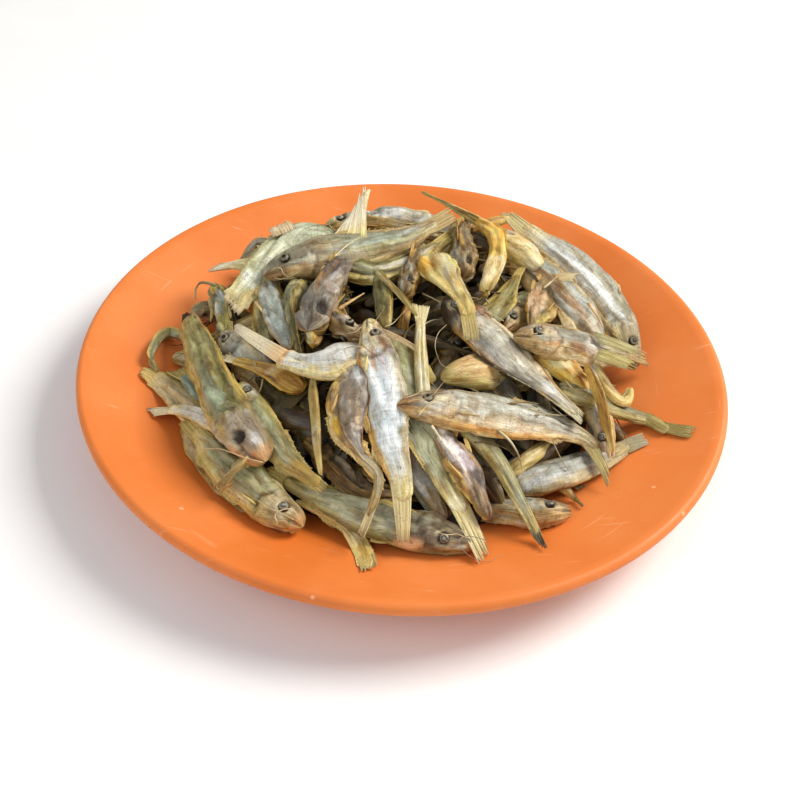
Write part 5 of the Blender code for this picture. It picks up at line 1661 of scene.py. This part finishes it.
def eye(name, sign):
    """Places and colours of one eye: some lenses have gone milky, others are still dark."""
    lie, draw = LIES[name], np.random.default_rng(int(SEEDS[name] * 1000) + 3)
    girth = float(lie.at("wide", EYE_STATION) + lie.at("deep", EYE_STATION)) / 2
    radius = min(EYE_RADIUS, 0.4 * girth)
    rim = lie.on_skin(EYE_STATION, sign * eye_turn(name))
    outward = unit(rim - lie.at("line", EYE_STATION))
    facing = BEAD["ways"] @ unit(outward + draw.uniform(-0.15, 0.15, 3))
    paint = mix(tone("241b12"), tone("a39c86"), smooth(0.5, 0.62, facing))
    paint = mix(paint, tone("1d1711"), smooth(0.8, 0.87, facing))
    if draw.uniform() < 0.6:
        paint = mix(paint, tone("9a9e96"), smooth(0.92, 0.97, facing))
    # An eye is darkened or lightened with its fish's painted light and shade
    return rim - outward * radius * 0.5 + BEAD["ways"] * radius, paint * painted_light_and_shade(name), BEAD["uv"]


def dried_eye():
    """A dried eye: hard, dark and a little glassy."""
    made, tree, shader, place = empty_material("dried_eye")
    paint = add(tree, "Attribute", {}, attribute_name="paint")
    noise = add(tree, "TexNoise", {"Vector": place, "Scale": 1 / 0.0008, "Detail": 3.0})
    light = add(tree, "ValToRGB", {"Fac": noise}, [(0.3, 0.6), (0.7, 1.2)])
    colour = add(tree, "Mix", {0: 0.8, 6: paint, 7: light}, data_type="RGBA", blend_type="MULTIPLY")
    feed(tree, shader, {"Base Color": colour, "Roughness": 0.38, "IOR": 1.35})
    return made


sighted = [name for name, row in ROWS.items() if row[0] in BODIES and name not in HEADLESS + HOLLOW_EYES]
eyes = [eye(name, sign) for name in sighted for sign in (-1, 1)]
finish_piece("dried_eyes", joined(BEAD, eyes), dried_eye())

# %% [markdown]
# ## Whiskers
#
# A tengra has long whiskers, called barbels. Dried, they are stiff cream-coloured hairs that loop over
# the fish beside them. Each is a thin tube along a smooth curve that starts at the mouth and wanders.

# %% Grow the whiskers
WHISKER = tube(*STRAND_FACES)
WHISKER_WIDTH = 0.5
STRAND_STEPS = 40
STRAND_GRAIN = 20.0
MOUTH_STATION = 0.04
# The side, the angle from the back and the length in millimetres of each
BARBELS = ((-1, 1.7, 17.0), (1, 1.7, 17.0), (-1, 2.4, 9.0), (1, 2.4, 9.0))
BARBEL_STEPS = 5


def strand(points, width, code, seed):
    """Places, colours and grain of a thin tube along a smooth curve, tapering to its end."""
    line = through(points, STRAND_STEPS)
    slope = unit(np.gradient(line, axis=0))
    side = unit(np.cross(slope, [0.13, 0.21, 1.0]))
    t, turn, stations = WHISKER["along"], WHISKER["turn"], np.linspace(0.0, 1.0, STRAND_STEPS)
    places, side, above = (sample(t, stations, rows) for rows in (line, side, np.cross(side, slope)))
    size = width / 2 * (1.0 - 0.65 * t) * WHISKER["out"]
    places = places + side * (size * np.sin(turn))[:, None] + above * (size * np.cos(turn))[:, None]
    paint = tone(code) * (1.0 + 0.15 * np.sin(9.0 * t + seed))[:, None]
    return places, paint, WHISKER["uv"] * [STRAND_GRAIN, width / 2] + seed


def whiskers(lie, seed):
    """Four whiskers from one head."""
    draw = np.random.default_rng(int(seed * 1000) + 9)
    made = []
    for sign, turn, length in BARBELS:
        start = lie.on_skin(MOUTH_STATION, sign * turn, 0.9)
        outward = unit(start - lie.at("line", MOUTH_STATION))
        # They lie back along the cheek, and lift off it a little
        way = unit(0.7 * outward + lie.at("along", MOUTH_STATION) * draw.uniform(0.6, 1.6))
        points = [start]
        for _ in range(BARBEL_STEPS):
            way = unit(way + draw.normal(0.0, 0.3, 3) + [0.0, 0.0, -0.06])
            points.append(points[-1] + way * length * draw.uniform(0.14, 0.24))
        made.append(strand(points, WHISKER_WIDTH, "cdb88c", seed + sign * turn))
    return made


hairs = []
for name, row in FISH.items():
    if row[0] == "whole" and row[1] in (0, 1, "set") and name not in HEADLESS + CRUMPLED:
        hairs += whiskers(LIES[name], SEEDS[name])
print(len(hairs), "whiskers")

# %% [markdown]
# Some whiskers, spines and hairs catch the eye in the photograph. They have places of their own on the
# skin, a height above it, a width and a colour.

# %% Place single whiskers and spines
SINGLE_HAIRS = {
    "olive_barbel": (
        ((-47, -70), (-54, -67), (-63, -62), (-69, -60), (-72, -58), (-73, -60), (-70, -61)), 9, 0.6,
        "d6b187"
    ),
    "crumple_hook": (((-79, 21), (-84, 26), (-87, 28), (-88, 25), (-87, 19)), 6, 1.6, "8f8157"),
    "silver_barbel": (((-14, -30), (-19, -30), (-22, -31), (-20, -36), (-17, -41)), 7, 0.5, "c9bb95"),
    "curl_over_eye": (
        ((-40, -88), (-41, -86), (-39, -85), (-36, -85), (-34, -86), (-33, -88)), 9, 0.7, "e0c896"
    ),
    "hair_loop": (
        ((32, -91), (27, -91), (23, -92), (23, -94), (27, -96), (33, -96), (38, -93)), 5, 0.35, "8d877a"
    ),
    "gap_hair": (((15, -16), (12, -21), (11, -27), (12, -32), (14, -36), (18, -37)), 3, 0.4, "b8a582"),
    "snout_hair": (((-8, -20), (-5, -18), (-1, -11)), 6, 0.4, "cdbc90"),
    "cheek_line": (((-16, -29), (-11, -34), (-7, -38)), 8, 0.45, "a06a35"),
    "cheek_cross": (((-13, -27), (-10, -33), (-7, -38)), 8, 0.45, "c9a26a"),
    "crest_barbel": (((-35, 47), (-40, 47), (-45, 44), (-48, 37), (-48, 32)), 6, 0.4, "9a8868"),
    "crest_splinter": (((-30, 22), (-26, 29), (-21, 36)), 9, 0.9, "e3d2a0"),
    "orange_spine": (((-26, -10), (-22, -6), (-17, -1)), 5, 1.9, "cfa468"),
    "spiny_spine": (((54, 13, 53), (57, 15, 55), (59, 16, 57)), 0, 1.4, "e6d9b4"),
    "right_spine": (((73, 14, 46), (76, 9, 44.5), (79, 4, 42)), 0, 1.5, "e0b070"),
    "level_barbel": (((6, -57), (9, -53), (14, -50)), 9, 0.5, "e2cfa0"),
    "level_whisker": (((1, -51), (6, -48), (6, -41)), 8, 0.4, "d8c8a0"),
    "bone": (((11, -60), (15, -65), (19, -69)), 6, 1.3, "e8d9b0"),
    "twist_spike": (((30, 62), (29, 55)), 4, 1.2, "d8c488"),
}
for number, (places, rise, width, code) in enumerate(SINGLE_HAIRS.values()):
    hairs.append(strand(lifted(places, rise), width, code, 0.9 * number))
print(len(SINGLE_HAIRS), "single whiskers and spines")

# %% [markdown]
# Broken rays, bones and shreds of skin lie all over such a heap like straw. They are short strands on
# the skin or a little under it, from a fixed seed.

# %% Scatter the straw
STRAW_SEED = 31
STRAW_COUNT = 170
STRAW_REACH = 76.0
STRAW_LENGTH = (8.0, 24.0)
STRAW_UNDER = (1.0, 10.0)
STRAW_LIFT = (-5.0, 5.0)
STRAW_CURVE = (-0.9, 0.9)
STRAW_WIDTH = (0.5, 1.4)
STRAW_CLEARANCE = 1.5
STRAW_COLOURS = ("c4b283", "b39a63", "94794a", "6f5735", "d2c196", "5a4730")


def straw(draw):
    """One strand that follows the skin of the heap."""
    radius = STRAW_REACH * math.sqrt(draw.uniform(0.0, 1.0))
    around, heading = draw.uniform(0.0, 2.0 * math.pi), draw.uniform(0.0, 2.0 * math.pi)
    x, y = radius * math.cos(around), radius * math.sin(around)
    length, under, lift = draw.uniform(*STRAW_LENGTH), draw.uniform(*STRAW_UNDER), draw.uniform(*STRAW_LIFT)
    curve = draw.uniform(*STRAW_CURVE)
    points = []
    for share in (-0.5, -0.2, 0.15, 0.5):
        x += math.cos(heading) * length * 0.3
        y += math.sin(heading) * length * 0.3
        heading += curve * 0.5
        floor = float(plate_top(x, y)) + STRAW_CLEARANCE
        points.append((x, y, max(float(skin(x, y)) - under, floor) + lift * share))
    width, code, seed = draw.uniform(*STRAW_WIDTH), draw.choice(STRAW_COLOURS), draw.uniform(0.0, 9.0)
    places, paint, grain = strand(points, width, code, seed)
    # Painted shade: the deeper it lies, the darker it is painted
    return places, paint * (1.0 - 0.07 * under), grain


draw = random.Random(STRAW_SEED)
hairs += [straw(draw) for _ in range(STRAW_COUNT)]
finish_piece("whiskers_and_straw", joined(WHISKER, hairs), dried_skin("dried_whisker", 0.4, 0.3, 0.0, 0.0))

# %% [markdown]
# ## Floor, light and camera
#
# The plate stands on a plain pale floor under soft studio light. The camera has the photograph's
# angle and distance: 42 degrees above the table, with a slight roll.

# %% Floor and light
FLOOR_HALF = 3.0
LIGHT_AIM = Vector((0.0, 0.0, 0.03))
SKY_STRENGTH = 0.42


def pale_floor():
    """A matt pale backdrop."""
    made, tree, shader, place = empty_material("matt_paper")
    noise = add(tree, "TexNoise", {"Vector": place, "Scale": 30.0})
    colour = add(tree, "ValToRGB", {"Fac": noise}, [(0.3, "f2f2f2"), (0.7, "f5f5f5")])
    feed(tree, shader, {"Base Color": colour, "Roughness": 0.9})
    return made


bm = bmesh.new()
bmesh.ops.create_grid(bm, x_segments=1, y_segments=1, size=FLOOR_HALF)
floor_mesh = as_mesh(bm)
floor_mesh.materials.append(pale_floor())
floor = in_scene("floor", floor_mesh)


def area_light(name, place, size, power, colour):
    """A square soft light that shines at the heap."""
    lamp = bpy.data.lights.new(name, "AREA")
    lamp.shape = "SQUARE"
    lamp.size = size
    lamp.energy = power
    lamp.color = linear(colour)
    holder = in_scene(name, lamp)
    holder.location = place
    holder.rotation_euler = (LIGHT_AIM - Vector(place)).to_track_quat("-Z", "Y").to_euler()


area_light("key", (1.1, 0.4, 1.15), 0.8, 31.0, "fffaf2")
area_light("fill", (-0.6, -0.7, 0.8), 0.9, 4.5, "f6f9ff")
world = bpy.data.worlds.new("studio")
world.use_nodes = True
feed(world.node_tree, world.node_tree.nodes["Background"], {"Color": "ffffff", "Strength": SKY_STRENGTH})
bpy.context.scene.world = world
bpy.context.scene.view_settings.view_transform = "Standard"
print("lights:", [each.name for each in bpy.data.lights])

# %% [markdown]
# The camera stands where the outline of the rim in the photograph puts it.

# %% Camera
CAMERA_LENS = 50.0
CAMERA_SENSOR = 36.0
CAMERA_HEIGHT_ANGLE = math.radians(42.013)
CAMERA_DISTANCE = 0.435
CAMERA_ROLL = math.radians(3.573)
CAMERA_AIM = Vector((-0.0007, -0.0271, 0.024))

backward = Vector((0.0, -math.cos(CAMERA_HEIGHT_ANGLE), math.sin(CAMERA_HEIGHT_ANGLE)))
level = Vector((1.0, 0.0, 0.0))
upright = backward.cross(level)
right_way = level * math.cos(CAMERA_ROLL) + upright * math.sin(CAMERA_ROLL)
up_way = upright * math.cos(CAMERA_ROLL) - level * math.sin(CAMERA_ROLL)
camera_data = bpy.data.cameras.new("camera")
camera_data.lens = CAMERA_LENS
camera_data.sensor_width = CAMERA_SENSOR
camera = in_scene("camera", camera_data)
turned = Matrix((right_way, up_way, backward)).transposed().to_4x4()
camera.matrix_world = Matrix.Translation(CAMERA_AIM + backward * CAMERA_DISTANCE) @ turned
bpy.context.scene.camera = camera
print("camera at", [round(value, 3) for value in camera.matrix_world.translation])
